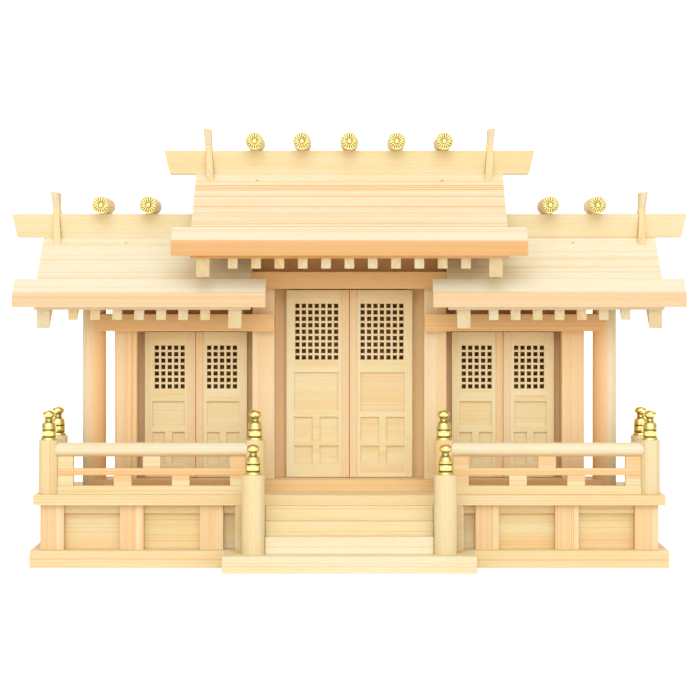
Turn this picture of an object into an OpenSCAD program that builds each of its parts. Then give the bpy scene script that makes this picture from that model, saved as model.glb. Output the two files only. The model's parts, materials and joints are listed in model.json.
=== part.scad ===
// Household altar of plain wood: three shrines under stepped roofs, on a raised veranda.
// Depths are worked out from the front edge of the veranda floor, and placed() then
// moves every piece so that the origin is the middle of the whole, at its underside.

/* [Base] */
// Height of the plinth bars and of the sill under the stairs
plinth_h = 15; // [10:0.5:22]
// Width of a plinth bar, seen from above
plinth_bar_w = 31; // [29:1:38]
// How far the plinth stands out past the veranda floor
plinth_out = 3; // [0:0.5:8]
// Height of the posts between plinth and veranda floor
base_h = 40; // [34:1:60]
// Side of a square base post
base_post_w = 20.8; // [14:0.4:24]
// Distance from the floor's edge in to the base posts
base_post_in = 5.5; // [2:0.5:7]
// Gap between the stair sill and the base posts beside it
sill_post_gap = 1.5; // [0.5:0.5:6]
// Height of the rail under the floor
base_rail_h = 8; // [5:0.5:12]
// Thickness of that rail, front to back
base_rail_t = 10; // [7:0.5:12]
// How far the rail lies behind the faces of the posts
base_rail_in = 5; // [1:0.5:6]
// Thickness of the panels under the rail
base_panel_t = 5; // [3:0.5:6]

/* [Veranda floor] */
// Thickness of the veranda floor
floor_t = 9; // [6:0.5:14]
// Width of the deck beside the shrines
deck_side = 67; // [58:1:90]
// Depth of the deck in front of the threshold
deck_front = 42; // [40:1:60]
// Depth of the deck behind the back wall
deck_back = 8.4; // [2:0.2:30]

/* [Stairs] */
// Clear width between the stair cheeks
stair_w = 148; // [110:1:160]
// Height of the bottom step
first_rise = 14.9; // [11:0.1:17]
// Depth of one step
step_go = 8.7; // [7:0.1:9.2]
// Width of a stair cheek
cheek_w = 26.3; // [16:0.1:30]
// Diameter of the newel posts
newel_d = 20; // [14:0.5:24]
// Height of the newel posts above the sill
newel_h = 69.5; // [50:0.5:90]
// Distance of the newels in front of the floor's edge
newel_ahead = 28; // [27:0.5:40]
// Wood of the sill left in front of the newels
sill_front = 6; // [2:0.5:14]
// Wood of the sill left beside the newels
sill_side = 16.5; // [11:0.5:24]

/* [Balustrade] */
// Diameter of the balustrade posts
rail_post_d = 17.5; // [13:0.5:20]
// Height of the balustrade posts
rail_post_h = 48; // [45:0.5:60]
// Distance from the floor's edge in to a post's axis
rail_post_in = 12.2; // [10:0.2:15]
// Length of the balustrade along each side, between post axes
side_rail_run = 65.6; // [58:0.4:90]
// Diameter of the round handrail
handrail_d = 12.5; // [8:0.5:14]
// Height of the handrail's axis above the floor
handrail_up = 39.6; // [36:0.2:41]
// Height of the middle rail
mid_rail_h = 6; // [4:0.5:8]
// Depth of the middle rail
mid_rail_t = 7; // [5:0.5:10]
// Height of the middle rail's underside above the floor
mid_rail_up = 17; // [14:0.5:20]
// Height of the lower rail
low_rail_h = 7.5; // [5:0.5:10]
// Depth of the lower rail
low_rail_t = 8; // [5:0.5:11]
// Width of a flat strut
strut_w = 15.8; // [8:0.2:17]
// Thickness of a flat strut
strut_t = 6; // [3:0.5:7]
// Distance from a post's axis to the nearest strut's middle
strut_end = 14.3; // [13:0.1:17]
// Struts in a front bay, below the middle rail
low_strut_count = 4; // [2:1:5]
// Struts in a front bay, above the middle rail
high_strut_count = 3; // [2:1:5]

/* [Post caps] */
// Height of an onion-shaped post cap
finial_h = 27; // [20:0.5:34]
// Diameter of its collar
finial_d = 15; // [11:0.5:16]

/* [Shrines] */
// Width over the three shrines
body_w = 426; // [410:1:470]
// Width of the middle shrine
centre_w = 176; // [160:1:190]
// Depth from the threshold's front to the back of the back wall
body_d = 86.6; // [78:0.2:120]
// Thickness of the walls
wall_t = 6; // [4:0.5:9]
// Height of the threshold
threshold_h = 10; // [7:0.5:14]
// Height of the side shrines' doorways
side_door_h = 134.3; // [122:0.1:150]
// Height of the middle shrine's doorway
centre_door_h = 172.6; // [160:0.1:190]
// Height of the head beams
head_beam_h = 15.4; // [11:0.2:20]
// Width of a wall post, seen from the front
post_w = 20; // [15:0.5:22]
// How far the wall posts lie behind the beams' front
post_in = 8; // [4:0.5:12]
// How far the wall above a head beam lies behind the beam's front
upper_wall_in = 24; // [15:0.5:28]
// Diameter of the round columns
column_d = 21.2; // [15:0.2:23]
// See-through gap between a round column and the wall post
column_gap = 8; // [4:0.5:12]

/* [Doors] */
// Thickness of a door leaf
leaf_t = 6; // [5:0.5:7]
// Gap between a leaf of the middle shrine and the post beside it
centre_leaf_gap = 10.4; // [6:0.1:14]
// Gap between a leaf of the side shrines and the post beside it
side_leaf_gap = 5.8; // [4:0.1:9]
// Depth of the leaf's front behind the beams' front
leaf_in = 24.7; // [20:0.1:26]
// Distance from a leaf's outer edge to its pivot
pivot_in = 3.5; // [3:0.1:4]
// Diameter of the pivot pins
pivot_d = 3; // [2:0.1:3.6]
// Length of a pivot pin outside the leaf
pivot_len = 5; // [3:0.5:7]
// Clearance round a pivot pin, on the radius
pivot_gap = 0.1; // [0.05:0.01:0.2]
// Gap under a leaf
leaf_gap_low = 0.5; // [0.3:0.1:1]
// Gap over a leaf
leaf_gap_high = 1; // [0.5:0.1:2]
// Seam between the two leaves of a pair
leaf_seam = 0.5; // [0.3:0.1:1]
// Width of the outer stile beside the panels
stile_w = 7; // [6:0.5:7.5]
// Width of the stile where two leaves meet
meeting_stile_w = 10.2; // [9:0.1:11]
// Height of the top rail of a leaf
top_rail_h = 12.6; // [8:0.1:16]
// Height of the rail under the lattice
lock_rail_h = 11.7; // [8:0.1:15]
// Height of the rail under the upper panel
cross_rail_h = 5.2; // [4:0.1:7]
// Height of the bottom rail of a leaf
bottom_rail_h = 12.3; // [9:0.1:15]
// Width of the upright muntin between the small panels
muntin_w = 6.5; // [4:0.1:8]
// Height of the muntin between the rows of small panels
muntin_h = 4.1; // [3:0.1:5]
// Depth of the panels' recess on each face
panel_recess = 1.8; // [1:0.1:2.2]
// Distance from one lattice bar to the next
lattice_pitch = 5.9; // [5.4:0.1:7]
// Width of a lattice bar
lattice_bar = 2; // [1.4:0.1:2.4]
// Width of the cover strip over both leaves
strip_w = 12.3; // [9:0.1:14]
// How far the cover strip stands out from the leaves
strip_t = 1.6; // [1:0.1:2.4]

/* [Roofs] */
// Slope of the roofs, in degrees
roof_pitch = 38; // [34:0.5:40]
// Thickness of the roof boards
slab_t = 13.1; // [9:0.1:14]
// Roof underside above the side head beam's top, over its front
side_roof_rise = 27.6; // [25:0.1:36]
// Height of the middle roof above the side roofs
roof_step = 58.3; // [54:0.1:68]
// How far the side eaves stand out in front of the beams
side_eave_out = 35.5; // [32:0.5:46]
// How far the middle eave stands out in front of the beams
centre_eave_out = 51.6; // [46:0.2:60]
// How far the side roofs run out past the outer walls
side_gable_out = 68; // [64:1:84]
// How far the middle roof runs out past its walls
centre_gable_out = 53; // [46:1:58]
// Height of an eave bar's front
eave_bar_h = 12.4; // [9:0.2:14]
// Run of an eave bar up the slope, front to back
eave_bar_run = 17; // [12:0.5:22]
// Thickness of an eave bar in front of the boards
eave_bar_t = 5.5; // [3:0.5:8]
// How far an eave bar rises above the boards
eave_bar_lap = 2.5; // [1.5:0.1:4]
// How far a side eave bar runs on past its boards
side_bar_out = 19; // [10:0.5:24]
// How far the middle eave bar runs on past its boards
centre_bar_out = 16.6; // [10:0.2:20]
// How far a side eave bar runs in past the middle shrine's wall
side_bar_in = 13.5; // [4:0.5:20]

/* [Rafters] */
// Width of a small rafter
rafter_w = 8.5; // [6:0.1:10]
// Height of a small rafter, square to the slope
rafter_h = 7.1; // [6:0.1:10]
// Nominal distance between small rafters
rafter_pitch = 20; // [16:0.5:30]
// Distance from an end rafter to the nearest small one
rafter_first = 26.5; // [20:0.5:30]
// Width of an end rafter
end_rafter_w = 11.7; // [9:0.1:14]
// Height of an end rafter, square to the slope
end_rafter_h = 12.9; // [11:0.1:14.5]
// Distance from the middle roof's edge to its end rafters
centre_rafter_in = 5.5; // [2:0.5:9]
// Distance from a side roof's outer edge to its end rafter
side_rafter_in = 2.3; // [1:0.1:6]
// Distance from the middle shrine's wall to the inner end rafter
inner_rafter_in = 8.2; // [4:0.2:12]

/* [Ridge] */
// Depth of the ridge beams
ridge_d = 20; // [16:0.5:22]
// Height of the ridge beams
ridge_h = 21.6; // [20:0.2:26]
// How far a ridge beam's underside runs out past the boards
ridge_out = 24; // [14:0.5:30]
// How much longer a ridge beam is at its top, at each end
ridge_slant = 5.2; // [2:0.2:8]
// Diameter of a ridge billet
billet_d = 16; // [12:0.5:18]
// Length of a ridge billet
billet_l = 51; // [40:1:60]
// Depth of the flat that seats a billet
billet_flat = 0.5; // [0.3:0.1:1]
// Billets on the middle ridge
centre_billets = 5; // [3:2:5]
// Billets on a side ridge
side_billets = 2; // [1:1:3]
// Diameter of a billet's metal cap
cap_d = 15; // [11:0.5:15.5]
// Height of a billet's metal cap
cap_h = 2.6; // [1.5:0.1:4]

/* [Ridge crosses] */
// Thickness of a crossed ridge board, along X
cross_t = 6.2; // [4:0.2:8]
// Width of a crossed ridge board
cross_w = 12; // [9:0.5:13]
// Lean of a crossed board from upright, in degrees
cross_lean = 30; // [26:0.5:34]
// Outward tilt of each pair of crossed boards, in degrees
cross_tilt = 4.5; // [0:0.5:6]
// Height of the crossing above the ridge beam
cross_up = 5.5; // [4:0.5:7]
// Height of the crossed boards above the ridge beam
cross_rise = 20; // [15:0.5:28]
// Distance from the ridge's middle to the foot of a crossed board
cross_foot = 19; // [17:0.5:22]
// Distance from the roof's edge in to the crossed boards
cross_in = 11.2; // [7:0.2:16]

/* [Hidden] */
$fn = 48;

// Clearances: round seats, loose seats, and the overlap that makes two shapes one solid
fit = 0.15;
seat = 0.3;
fuse = 0.5;
// Room between the heel of a turning leaf and the jamb behind it
heel_gap = 0.7;
// How far a jamb reaches behind a leaf
jamb_lap = 3.7;
// A pivot's bore is this much deeper than its pin is long
bore_spare = 0.5;
// Steps between sill and floor
step_count = 3;
// Longer than any piece, for cuts that run right through
far = 1000;

// Heights
base_top = plinth_h + base_h;
floor_top = base_top + floor_t;
sill_top = floor_top + threshold_h;
side_beam_z = sill_top + side_door_h;
side_beam_top = side_beam_z + head_beam_h;
centre_beam_z = sill_top + centre_door_h;
centre_beam_top = centre_beam_z + head_beam_h;

// Depths, from the floor's front edge to the back
beam_y = deck_front;
back_y = beam_y + body_d;
floor_d = back_y + deck_back;
ridge_y = beam_y + body_d / 2;
leaf_y = beam_y + leaf_in;
pivot_y = leaf_y + leaf_t / 2;
heel_r = norm([pivot_in, leaf_t / 2]);
jamb_y = pivot_y + heel_r + heel_gap;
beam_d = jamb_y + wall_t - beam_y;
wall_y = beam_y + beam_d;
upper_y = beam_y + upper_wall_in;
column_y = beam_y + column_d / 2;
newel_y = -newel_ahead;
sill_y = newel_y - newel_d / 2 - sill_front;
step_back = base_post_in + base_rail_in;
rail_y = rail_post_in;
rail_back_y = rail_y + side_rail_run;

// Widths, from the middle to the side
body_x = body_w / 2;
centre_x = centre_w / 2;
floor_x = body_x + deck_side;
column_x = body_x + column_gap + column_d / 2;
newel_x = stair_w / 2 + newel_d / 2;
sill_x = newel_x + newel_d / 2 + sill_side;
rail_x = floor_x - rail_post_in;
side_mid_x = (centre_x + body_x - post_w) / 2;
centre_leaf_w = centre_x - post_w - centre_leaf_gap;
side_leaf_w = body_x - post_w - side_mid_x - side_leaf_gap;
post_in_x = sill_x + sill_post_gap + base_post_w / 2;
post_out_x = floor_x - base_post_in - base_post_w / 2;
base_post_xs = [post_in_x, (post_in_x + post_out_x) / 2, post_out_x];

// Roofs: heights are those of the boards' faces over the ridge's middle line
slope = tan(roof_pitch);
slab_v = slab_t / cos(roof_pitch);
side_under = side_beam_top + side_roof_rise + slope * (ridge_y - beam_y);
centre_under = side_under + roof_step;
side_top = side_under + slab_v;
centre_top = centre_under + slab_v;
side_eave_y = beam_y - side_eave_out;
centre_eave_y = beam_y - centre_eave_out;
side_slab_x = body_x + side_gable_out;
centre_slab_x = centre_x + centre_gable_out;
ridge_drop = slope * ridge_d / 2;
side_ridge_z = side_top - ridge_drop;
centre_ridge_z = centre_top - ridge_drop;
centre_cross_x = centre_slab_x - cross_in;
side_cross_x = side_slab_x - cross_in;
billet_pitch = 2 * centre_cross_x / (centre_billets + 1);

// The whole, front to back
front_y = min(sill_y, centre_eave_y);
rear_y = 2 * ridge_y - centre_eave_y;

PALE = [0.98, 0.93, 0.79];
MID = [0.95, 0.86, 0.66];
WARM = [0.96, 0.78, 0.56];
GOLD = [0.86, 0.68, 0.18];

// Puts the origin in the middle of the whole, front to back
module placed() {
  translate([0, -(front_y + rear_y) / 2, 0])
    children();
}

module both_sides() {
  children();
  mirror([1, 0, 0])
    children();
}

module both_roof_sides() {
  children();
  translate([0, 2 * ridge_y, 0])
    mirror([0, 1, 0])
      children();
}

// A block from x0 to x1, y0 to y1 and z0 to z1
module block(x0, x1, y0, y1, z0, z1) {
  translate([x0, y0, z0])
    cube([x1 - x0, y1 - y0, z1 - z0]);
}

// An outline of [y, z] points, run along X from x0 to x1
module run_x(x0, x1, points) {
  translate([x0, 0, 0])
    rotate([90, 0, 90])
      linear_extrude(height = x1 - x0)
        polygon(points);
}

// An outline of [x, z] points, run along Y from y0 to y1
module run_y(y0, y1, points) {
  translate([0, y1, 0])
    rotate([90, 0, 0])
      linear_extrude(height = y1 - y0)
        polygon(points);
}

module upright(x, y, d, z0, z1) {
  translate([x, y, z0])
    cylinder(d = d, h = z1 - z0);
}

// Height at depth y of a roof face that lies at z over the ridge's middle line
function face_z(z, y) = z - slope * abs(y - ridge_y);

// Base

module plinth_front_and_back() {
  color(WARM)
    for (y = [-plinth_out, floor_d + plinth_out - plinth_bar_w])
      block(-floor_x - plinth_out, floor_x + plinth_out, y, y + plinth_bar_w, 0, plinth_h);
}

module plinth_sides() {
  y0 = plinth_bar_w - plinth_out;
  color(WARM)
    both_sides()
      block(floor_x + plinth_out - plinth_bar_w, floor_x + plinth_out, y0, floor_d - y0,
            0, plinth_h);
}

module base_posts() {
  color(PALE)
    both_sides()
      for (x = base_post_xs, y = [base_post_in, floor_d - base_post_in - base_post_w])
        block(x - base_post_w / 2, x + base_post_w / 2, y, y + base_post_w,
              plinth_h, base_top);
}

// Blocks between neighbouring base posts: their outer face lies depth_in behind the
// floor's edge, and they are t thick and reach from z0 to z1
module between_base_posts(depth_in, t, z0, z1) {
  half = base_post_w / 2;
  side_y = base_post_in + base_post_w;
  for (y = [depth_in, floor_d - depth_in - t]) {
    block(-post_in_x + half, post_in_x - half, y, y + t, z0, z1);
    both_sides()
      for (i = [0:1])
        block(base_post_xs[i] + half, base_post_xs[i + 1] - half, y, y + t, z0, z1);
  }
  both_sides()
    block(floor_x - depth_in - t, floor_x - depth_in, side_y, floor_d - side_y, z0, z1);
}

module base_rails() {
  color(MID)
    between_base_posts(base_post_in + base_rail_in, base_rail_t,
                       base_top - base_rail_h, base_top);
}

module base_panels() {
  color(PALE)
    between_base_posts(base_post_in + base_rail_in + base_rail_t - base_panel_t,
                       base_panel_t, plinth_h, base_top - base_rail_h);
}

module veranda_floor() {
  color(PALE)
    block(-floor_x, floor_x, 0, floor_d, base_top, floor_top);
}

// Stairs

module stair_sill() {
  color(MID)
    block(-sill_x, sill_x, sill_y, -plinth_out, 0, plinth_h);
}

// Height of step i's top above the sill, counted from the bottom
function step_top(i) =
  i < 1 ? 0 : first_rise + (base_h - first_rise) * (i - 1) / (step_count - 1);

module step(i) {
  front = -step_go * (step_count + 1 - i);
  color(PALE)
    block(-stair_w / 2 + seat, stair_w / 2 - seat, front, step_back,
          plinth_h + step_top(i - 1), plinth_h + step_top(i));
}

module stair_cheeks() {
  color(MID)
    both_sides()
      block(stair_w / 2, stair_w / 2 + cheek_w, newel_y + newel_d / 2 + seat, step_back,
            plinth_h, base_top);
}

module newel_posts() {
  color(MID)
    both_sides()
      upright(newel_x, newel_y, newel_d, plinth_h, plinth_h + newel_h);
}

// Balustrade

// Where the balustrade posts of one side stand
rail_post_places = [[newel_x, rail_y], [rail_x, rail_y], [rail_x, rail_back_y]];

module balustrade_posts() {
  color(MID)
    both_sides()
      for (p = rail_post_places)
        upright(p[0], p[1], rail_post_d, floor_top, floor_top + rail_post_h);
}

// Takes the room of the balustrade posts out of what runs up to them
module coped_to_rail_posts() {
  difference() {
    children();
    for (p = rail_post_places)
      upright(p[0], p[1], rail_post_d + 2 * fit, floor_top - fuse, floor_top + 2 * rail_post_h);
  }
}

// A rail of rectangular section along the front and the side
module flat_rails(t, z0, z1) {
  both_sides()
    coped_to_rail_posts() {
      block(newel_x, rail_x, rail_y - t / 2, rail_y + t / 2, z0, z1);
      block(rail_x - t / 2, rail_x + t / 2, rail_y, rail_back_y, z0, z1);
    }
}

module round_rail(d) {
  translate([newel_x, rail_y, floor_top + handrail_up])
    rotate([0, 90, 0])
      cylinder(d = d, h = rail_x - newel_x);
  translate([rail_x, rail_y, floor_top + handrail_up])
    rotate([-90, 0, 0])
      cylinder(d = d, h = side_rail_run);
}

module handrails() {
  color(MID)
    both_sides()
      coped_to_rail_posts()
        round_rail(handrail_d);
}

module middle_rails() {
  color(MID)
    flat_rails(mid_rail_t, floor_top + mid_rail_up, floor_top + mid_rail_up + mid_rail_h);
}

module lower_rails() {
  color(MID)
    flat_rails(low_rail_t, floor_top, floor_top + low_rail_h);
}

// Places of n things spread evenly from a to b
function spread(a, b, n) = [for (i = [0:n - 1]) a + (b - a) * i / (n - 1)];

// One row of struts from z0 to z1, with n of them in the front bay
module strut_row(n, z0, z1) {
  for (x = spread(newel_x + strut_end, rail_x - strut_end, n))
    block(x - strut_w / 2, x + strut_w / 2, rail_y - strut_t / 2, rail_y + strut_t / 2, z0, z1);
  for (y = spread(rail_y + strut_end, rail_back_y - strut_end, 2))
    block(rail_x - strut_t / 2, rail_x + strut_t / 2, y - strut_w / 2, y + strut_w / 2, z0, z1);
}

module rail_struts() {
  color(MID)
    both_sides()
      coped_to_rail_posts() {
        strut_row(low_strut_count, floor_top + low_rail_h, floor_top + mid_rail_up);
        difference() {
          strut_row(high_strut_count, floor_top + mid_rail_up + mid_rail_h,
                    floor_top + handrail_up);
          round_rail(handrail_d + 2 * fit);
        }
      }
}

// Outline of a post cap as [radius, height], in shares of the collar's radius and of the
// whole height: collar, drum with two grooves, neck, then the flattened ball with its tip
ball_r = 0.76;
ball_half_h = 0.13;
ball_mid = 0.855;
ball = [for (a = [-54:12:66]) [ball_r * cos(a), ball_mid + ball_half_h * sin(a)]];
finial_outline = concat(
  [[0, 0], [1, 0], [1, 0.07], [0.96, 0.1], [0.87, 0.11], [0.8, 0.125], [0.86, 0.14],
   [0.86, 0.32], [0.79, 0.34], [0.86, 0.36], [0.84, 0.5], [0.8, 0.55], [0.7, 0.585],
   [0.54, 0.605], [0.44, 0.63], [0.43, 0.7]],
  ball,
  [[0.14, 0.984], [0, 1]]
);

module finial() {
  rotate_extrude()
    polygon([for (p = finial_outline) [p[0] * finial_d / 2, p[1] * finial_h]]);
}

module post_finials() {
  color(GOLD)
    both_sides() {
      for (p = rail_post_places)
        translate([p[0], p[1], floor_top + rail_post_h])
          finial();
      translate([newel_x, newel_y, plinth_h + newel_h])
        finial();
    }
}

// Shrines

// Room of the two round columns, for the beams that run up to them
module column_room() {
  both_sides()
    upright(column_x, column_y, column_d + 2 * fit, floor_top - fuse, centre_top);
}

// Bores for the door pivots of one side, from z0 to z1
module pivot_bores(xs, z0, z1) {
  for (x = xs)
    upright(x, pivot_y, pivot_d + 2 * pivot_gap, z0, z1);
}

// Pivot places: of the middle pair, and of a side pair
centre_pivot_x = centre_leaf_w - pivot_in;
side_pivot_xs = [side_mid_x - side_leaf_w + pivot_in, side_mid_x + side_leaf_w - pivot_in];

module threshold() {
  color(MID)
    difference() {
      block(-column_x, column_x, beam_y, wall_y, floor_top, sill_top);
      column_room();
      both_sides()
        pivot_bores(concat([centre_pivot_x], side_pivot_xs),
                    sill_top + leaf_gap_low - pivot_len - bore_spare, sill_top + fuse);
    }
}

module wall_posts() {
  color(PALE)
    both_sides() {
      block(centre_x - post_w, centre_x, beam_y + post_in, jamb_y, sill_top, centre_beam_z);
      block(body_x - post_w, body_x, beam_y + post_in, jamb_y, sill_top, side_beam_z);
    }
}

module round_columns() {
  color(PALE)
    both_sides()
      difference() {
        upright(column_x, column_y, column_d, floor_top, side_top);
        run_x(column_x - column_d, column_x + column_d, [
          [beam_y - column_d, face_z(side_under, beam_y - column_d)],
          [ridge_y, side_under],
          [ridge_y, side_top + fuse],
          [beam_y - column_d, side_top + fuse]
        ]);
      }
}

// A side beam runs on in front of the inner wall post
module side_head_beams() {
  color(MID)
    both_sides()
      difference() {
        union() {
          block(centre_x, column_x, beam_y, wall_y, side_beam_z, side_beam_top);
          block(centre_x - post_w, centre_x + fuse, beam_y, beam_y + post_in,
                side_beam_z, side_beam_top);
        }
        column_room();
        pivot_bores(side_pivot_xs, side_beam_z - fuse,
                    side_beam_z - leaf_gap_high + pivot_len + bore_spare);
      }
}

module centre_head_beam() {
  color(MID)
    difference() {
      block(-centre_x, centre_x, beam_y, wall_y, centre_beam_z, centre_beam_top);
      both_sides()
        pivot_bores([centre_pivot_x], centre_beam_z - fuse,
                    centre_beam_z - leaf_gap_high + pivot_len + bore_spare);
    }
}

// Boards that close the gap between a leaf and its post, behind both. The one behind an
// inner post serves two doorways.
module door_jambs() {
  color(WARM)
    both_sides() {
      block(centre_leaf_w - jamb_lap, centre_x, jamb_y, wall_y, sill_top, centre_beam_z);
      block(centre_x - fuse, side_mid_x - side_leaf_w + jamb_lap, jamb_y, wall_y,
            sill_top, side_beam_z);
      block(side_mid_x + side_leaf_w - jamb_lap, body_x, jamb_y, wall_y,
            sill_top, side_beam_z);
    }
}

// A side wall from x0 to x1: it passes behind the beams and stands on the head beam
module gabled_wall(x0, x1, beam_top, under) {
  run_x(x0, x1, [
    [wall_y, floor_top],
    [wall_y, beam_top],
    [upper_y, beam_top],
    [upper_y, face_z(under, upper_y)],
    [ridge_y, under],
    [back_y, face_z(under, back_y)],
    [back_y, floor_top]
  ]);
}

module outer_side_walls() {
  color(MID)
    both_sides()
      gabled_wall(body_x - wall_t, body_x, side_beam_top, side_under);
}

module centre_side_walls() {
  color(MID)
    both_sides()
      gabled_wall(centre_x - wall_t, centre_x, centre_beam_top, centre_under);
}

// A wall from z0 up to the roof, between the depths y0 and y1
module wall_under_roof(x0, x1, y0, y1, z0, under) {
  run_x(x0, x1, [[y0, z0], [y0, face_z(under, y0)], [y1, face_z(under, y1)], [y1, z0]]);
}

module upper_front_walls() {
  color(MID) {
    wall_under_roof(-centre_x + wall_t, centre_x - wall_t, upper_y, upper_y + wall_t,
                    centre_beam_top, centre_under);
    both_sides()
      wall_under_roof(centre_x, body_x - wall_t, upper_y, upper_y + wall_t,
                      side_beam_top, side_under);
  }
}

module back_walls() {
  color(MID) {
    wall_under_roof(-centre_x + wall_t, centre_x - wall_t, back_y - wall_t, back_y,
                    floor_top, centre_under);
    both_sides()
      wall_under_roof(centre_x, body_x - wall_t, back_y - wall_t, back_y,
                      floor_top, side_under);
  }
}

// Roofs

// The boards of one slope, from the eave up to the ridge, with a flat for the ridge beam
module roof_slope(x0, x1, eave_y, under) {
  eave_in = eave_y + eave_bar_t;
  top = under + slab_v;
  run_x(x0, x1, [
    [eave_in, face_z(under, eave_in)],
    [eave_in, face_z(top, eave_in)],
    [ridge_y - ridge_d / 2, top - ridge_drop],
    [ridge_y, top - ridge_drop],
    [ridge_y, under]
  ]);
}

module front_slopes() {
  roof_slope(-centre_slab_x, centre_slab_x, centre_eave_y, centre_under);
  both_sides()
    roof_slope(centre_x, side_slab_x, side_eave_y, side_under);
}

module roof_front_boards() {
  color(PALE)
    front_slopes();
}

module roof_back_boards() {
  color(PALE)
    translate([0, 2 * ridge_y, 0])
      mirror([0, 1, 0])
        front_slopes();
}

// The thick bar along an eave: it covers the boards' ends and laps onto the slope
module eave_bar(x0, x1, eave_y, top) {
  nose = face_z(top, eave_y) + eave_bar_lap;
  inner = eave_y + eave_bar_t;
  back = eave_y + eave_bar_run;
  run_x(x0, x1, [
    [eave_y, nose - eave_bar_h],
    [eave_y, nose],
    [back, face_z(top, back) + eave_bar_lap],
    [back, face_z(top, back)],
    [inner, face_z(top, inner)],
    [inner, nose - eave_bar_h]
  ]);
}

module eave_bars() {
  color(PALE)
    both_roof_sides() {
      eave_bar(-centre_slab_x - centre_bar_out, centre_slab_x + centre_bar_out,
               centre_eave_y, centre_top);
      both_sides()
        eave_bar(centre_x - side_bar_in, side_slab_x + side_bar_out, side_eave_y, side_top);
    }
}

// Rafters

// A rafter under the boards from the eave in to depth y1, h high square to the slope
module rafter(x, w, h, eave_y, y1, under) {
  y0 = eave_y + eave_bar_t;
  drop = h / cos(roof_pitch);
  run_x(x - w / 2, x + w / 2, [
    [y0, face_z(under, y0)],
    [y1, face_z(under, y1)],
    [y1, face_z(under, y1) - drop],
    [y0, face_z(under, y0) - drop]
  ]);
}

// Where the end rafters lie
centre_end_x = centre_slab_x - centre_rafter_in - end_rafter_w / 2;
side_end_x = side_slab_x - side_rafter_in - end_rafter_w / 2;
inner_end_x = centre_x + inner_rafter_in + end_rafter_w / 2;

// The back slopes, which stand against a wall, have no rafters
module front_end_rafters() {
  color(MID)
    both_sides() {
      rafter(centre_end_x, end_rafter_w, end_rafter_h, centre_eave_y, ridge_y, centre_under);
      rafter(side_end_x, end_rafter_w, end_rafter_h, side_eave_y, ridge_y, side_under);
      rafter(inner_end_x, end_rafter_w, end_rafter_h, side_eave_y, upper_y, side_under);
    }
}

// Small rafters spread between two end rafters at x0 and x1
function rafter_places(x0, x1) =
  spread(x0 + rafter_first, x1 - rafter_first,
         1 + round((x1 - x0 - 2 * rafter_first) / rafter_pitch));

// A front rafter stops at the upper wall, or short of a round column in its way
function rafter_stop(x) =
  abs(x - column_x) < (column_d + rafter_w) / 2 + seat ? beam_y - seat : upper_y;

module small_rafters() {
  color(MID) {
    for (x = rafter_places(-centre_end_x, centre_end_x))
      rafter(x, rafter_w, rafter_h, centre_eave_y, upper_y, centre_under);
    both_sides()
      for (x = rafter_places(inner_end_x, side_end_x))
        rafter(x, rafter_w, rafter_h, side_eave_y, rafter_stop(x), side_under);
  }
}

// Ridges

// Half the width of a crossed board, measured level
cross_half = cross_w / 2 / cos(cross_lean);

// Turns and moves a crossed board from the YZ plane to its place at x on a ridge whose
// beam has its top at z
module at_cross(x, z) {
  translate([x, ridge_y, z + cross_up])
    rotate([0, cross_tilt, 0])
      children();
}

// A leaning strip through the crossing: way is -1 for a foot in front, 1 for one behind
module cross_strip(way, half_t, half_w, down, x_shift = 0) {
  reach = tan(cross_lean);
  translate([x_shift - half_t, 0, 0])
    rotate([90, 0, 90])
      linear_extrude(height = 2 * half_t)
        polygon([
          [way * down * reach - half_w, -down],
          [way * down * reach + half_w, -down],
          [-way * down * reach + half_w, down],
          [-way * down * reach - half_w, down]
        ]);
}

// One crossed board: halved where its partner passes, cut plumb at the foot, seated on
// the boards of the roof and cut level at its head
module chigi(way, x, beam_top, roof_top) {
  outer_y = ridge_y + way * cross_foot;
  difference() {
    at_cross(x, beam_top)
      difference() {
        cross_strip(way, cross_t / 2, cross_half, 2 * ridge_h);
        cross_strip(-way, cross_t / 4 + fit / 2, cross_half, 2 * ridge_h,
                    -way * (cross_t / 4 + fit / 2));
      }
    run_x(x - 2 * cross_t, x + 2 * cross_t, [
      [ridge_y - far, roof_top - slope * far],
      [ridge_y, roof_top],
      [ridge_y + far, roof_top - slope * far]
    ]);
    block(x - 2 * cross_t, x + 2 * cross_t, ridge_y - far, ridge_y + far,
          beam_top + cross_rise, beam_top + 2 * far);
    block(x - 2 * cross_t, x + 2 * cross_t, min(outer_y, outer_y + way * far),
          max(outer_y, outer_y + way * far), 0, beam_top + cross_up);
  }
}

// The crossed boards of all ridges that lean one way
module chigi_row(way) {
  color(MID)
    both_sides() {
      chigi(way, centre_cross_x, centre_ridge_z + ridge_h, centre_top);
      chigi(way, side_cross_x, side_ridge_z + ridge_h, side_top);
    }
}

// Room for the crossed boards in a ridge beam
module cross_room(x, beam_top) {
  at_cross(x, beam_top)
    for (way = [-1, 1])
      cross_strip(way, cross_t / 2 + fit, cross_half + fit, 2 * ridge_h);
}

// A ridge beam from x0 to x1 at its underside, longer at its top by slant0 and slant1
module ridge_beam(x0, x1, z, slant0, slant1) {
  run_y(ridge_y - ridge_d / 2, ridge_y + ridge_d / 2, [
    [x0, z], [x1, z], [x1 + slant1, z + ridge_h], [x0 - slant0, z + ridge_h]
  ]);
}

module ridge_beams() {
  centre_end = centre_slab_x + ridge_out;
  color(MID) {
    difference() {
      ridge_beam(-centre_end, centre_end, centre_ridge_z, ridge_slant, ridge_slant);
      both_sides()
        cross_room(centre_cross_x, centre_ridge_z + ridge_h);
    }
    both_sides()
      difference() {
        ridge_beam(centre_x, side_slab_x + ridge_out, side_ridge_z, 0, ridge_slant);
        cross_room(side_cross_x, side_ridge_z + ridge_h);
      }
  }
}

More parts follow.
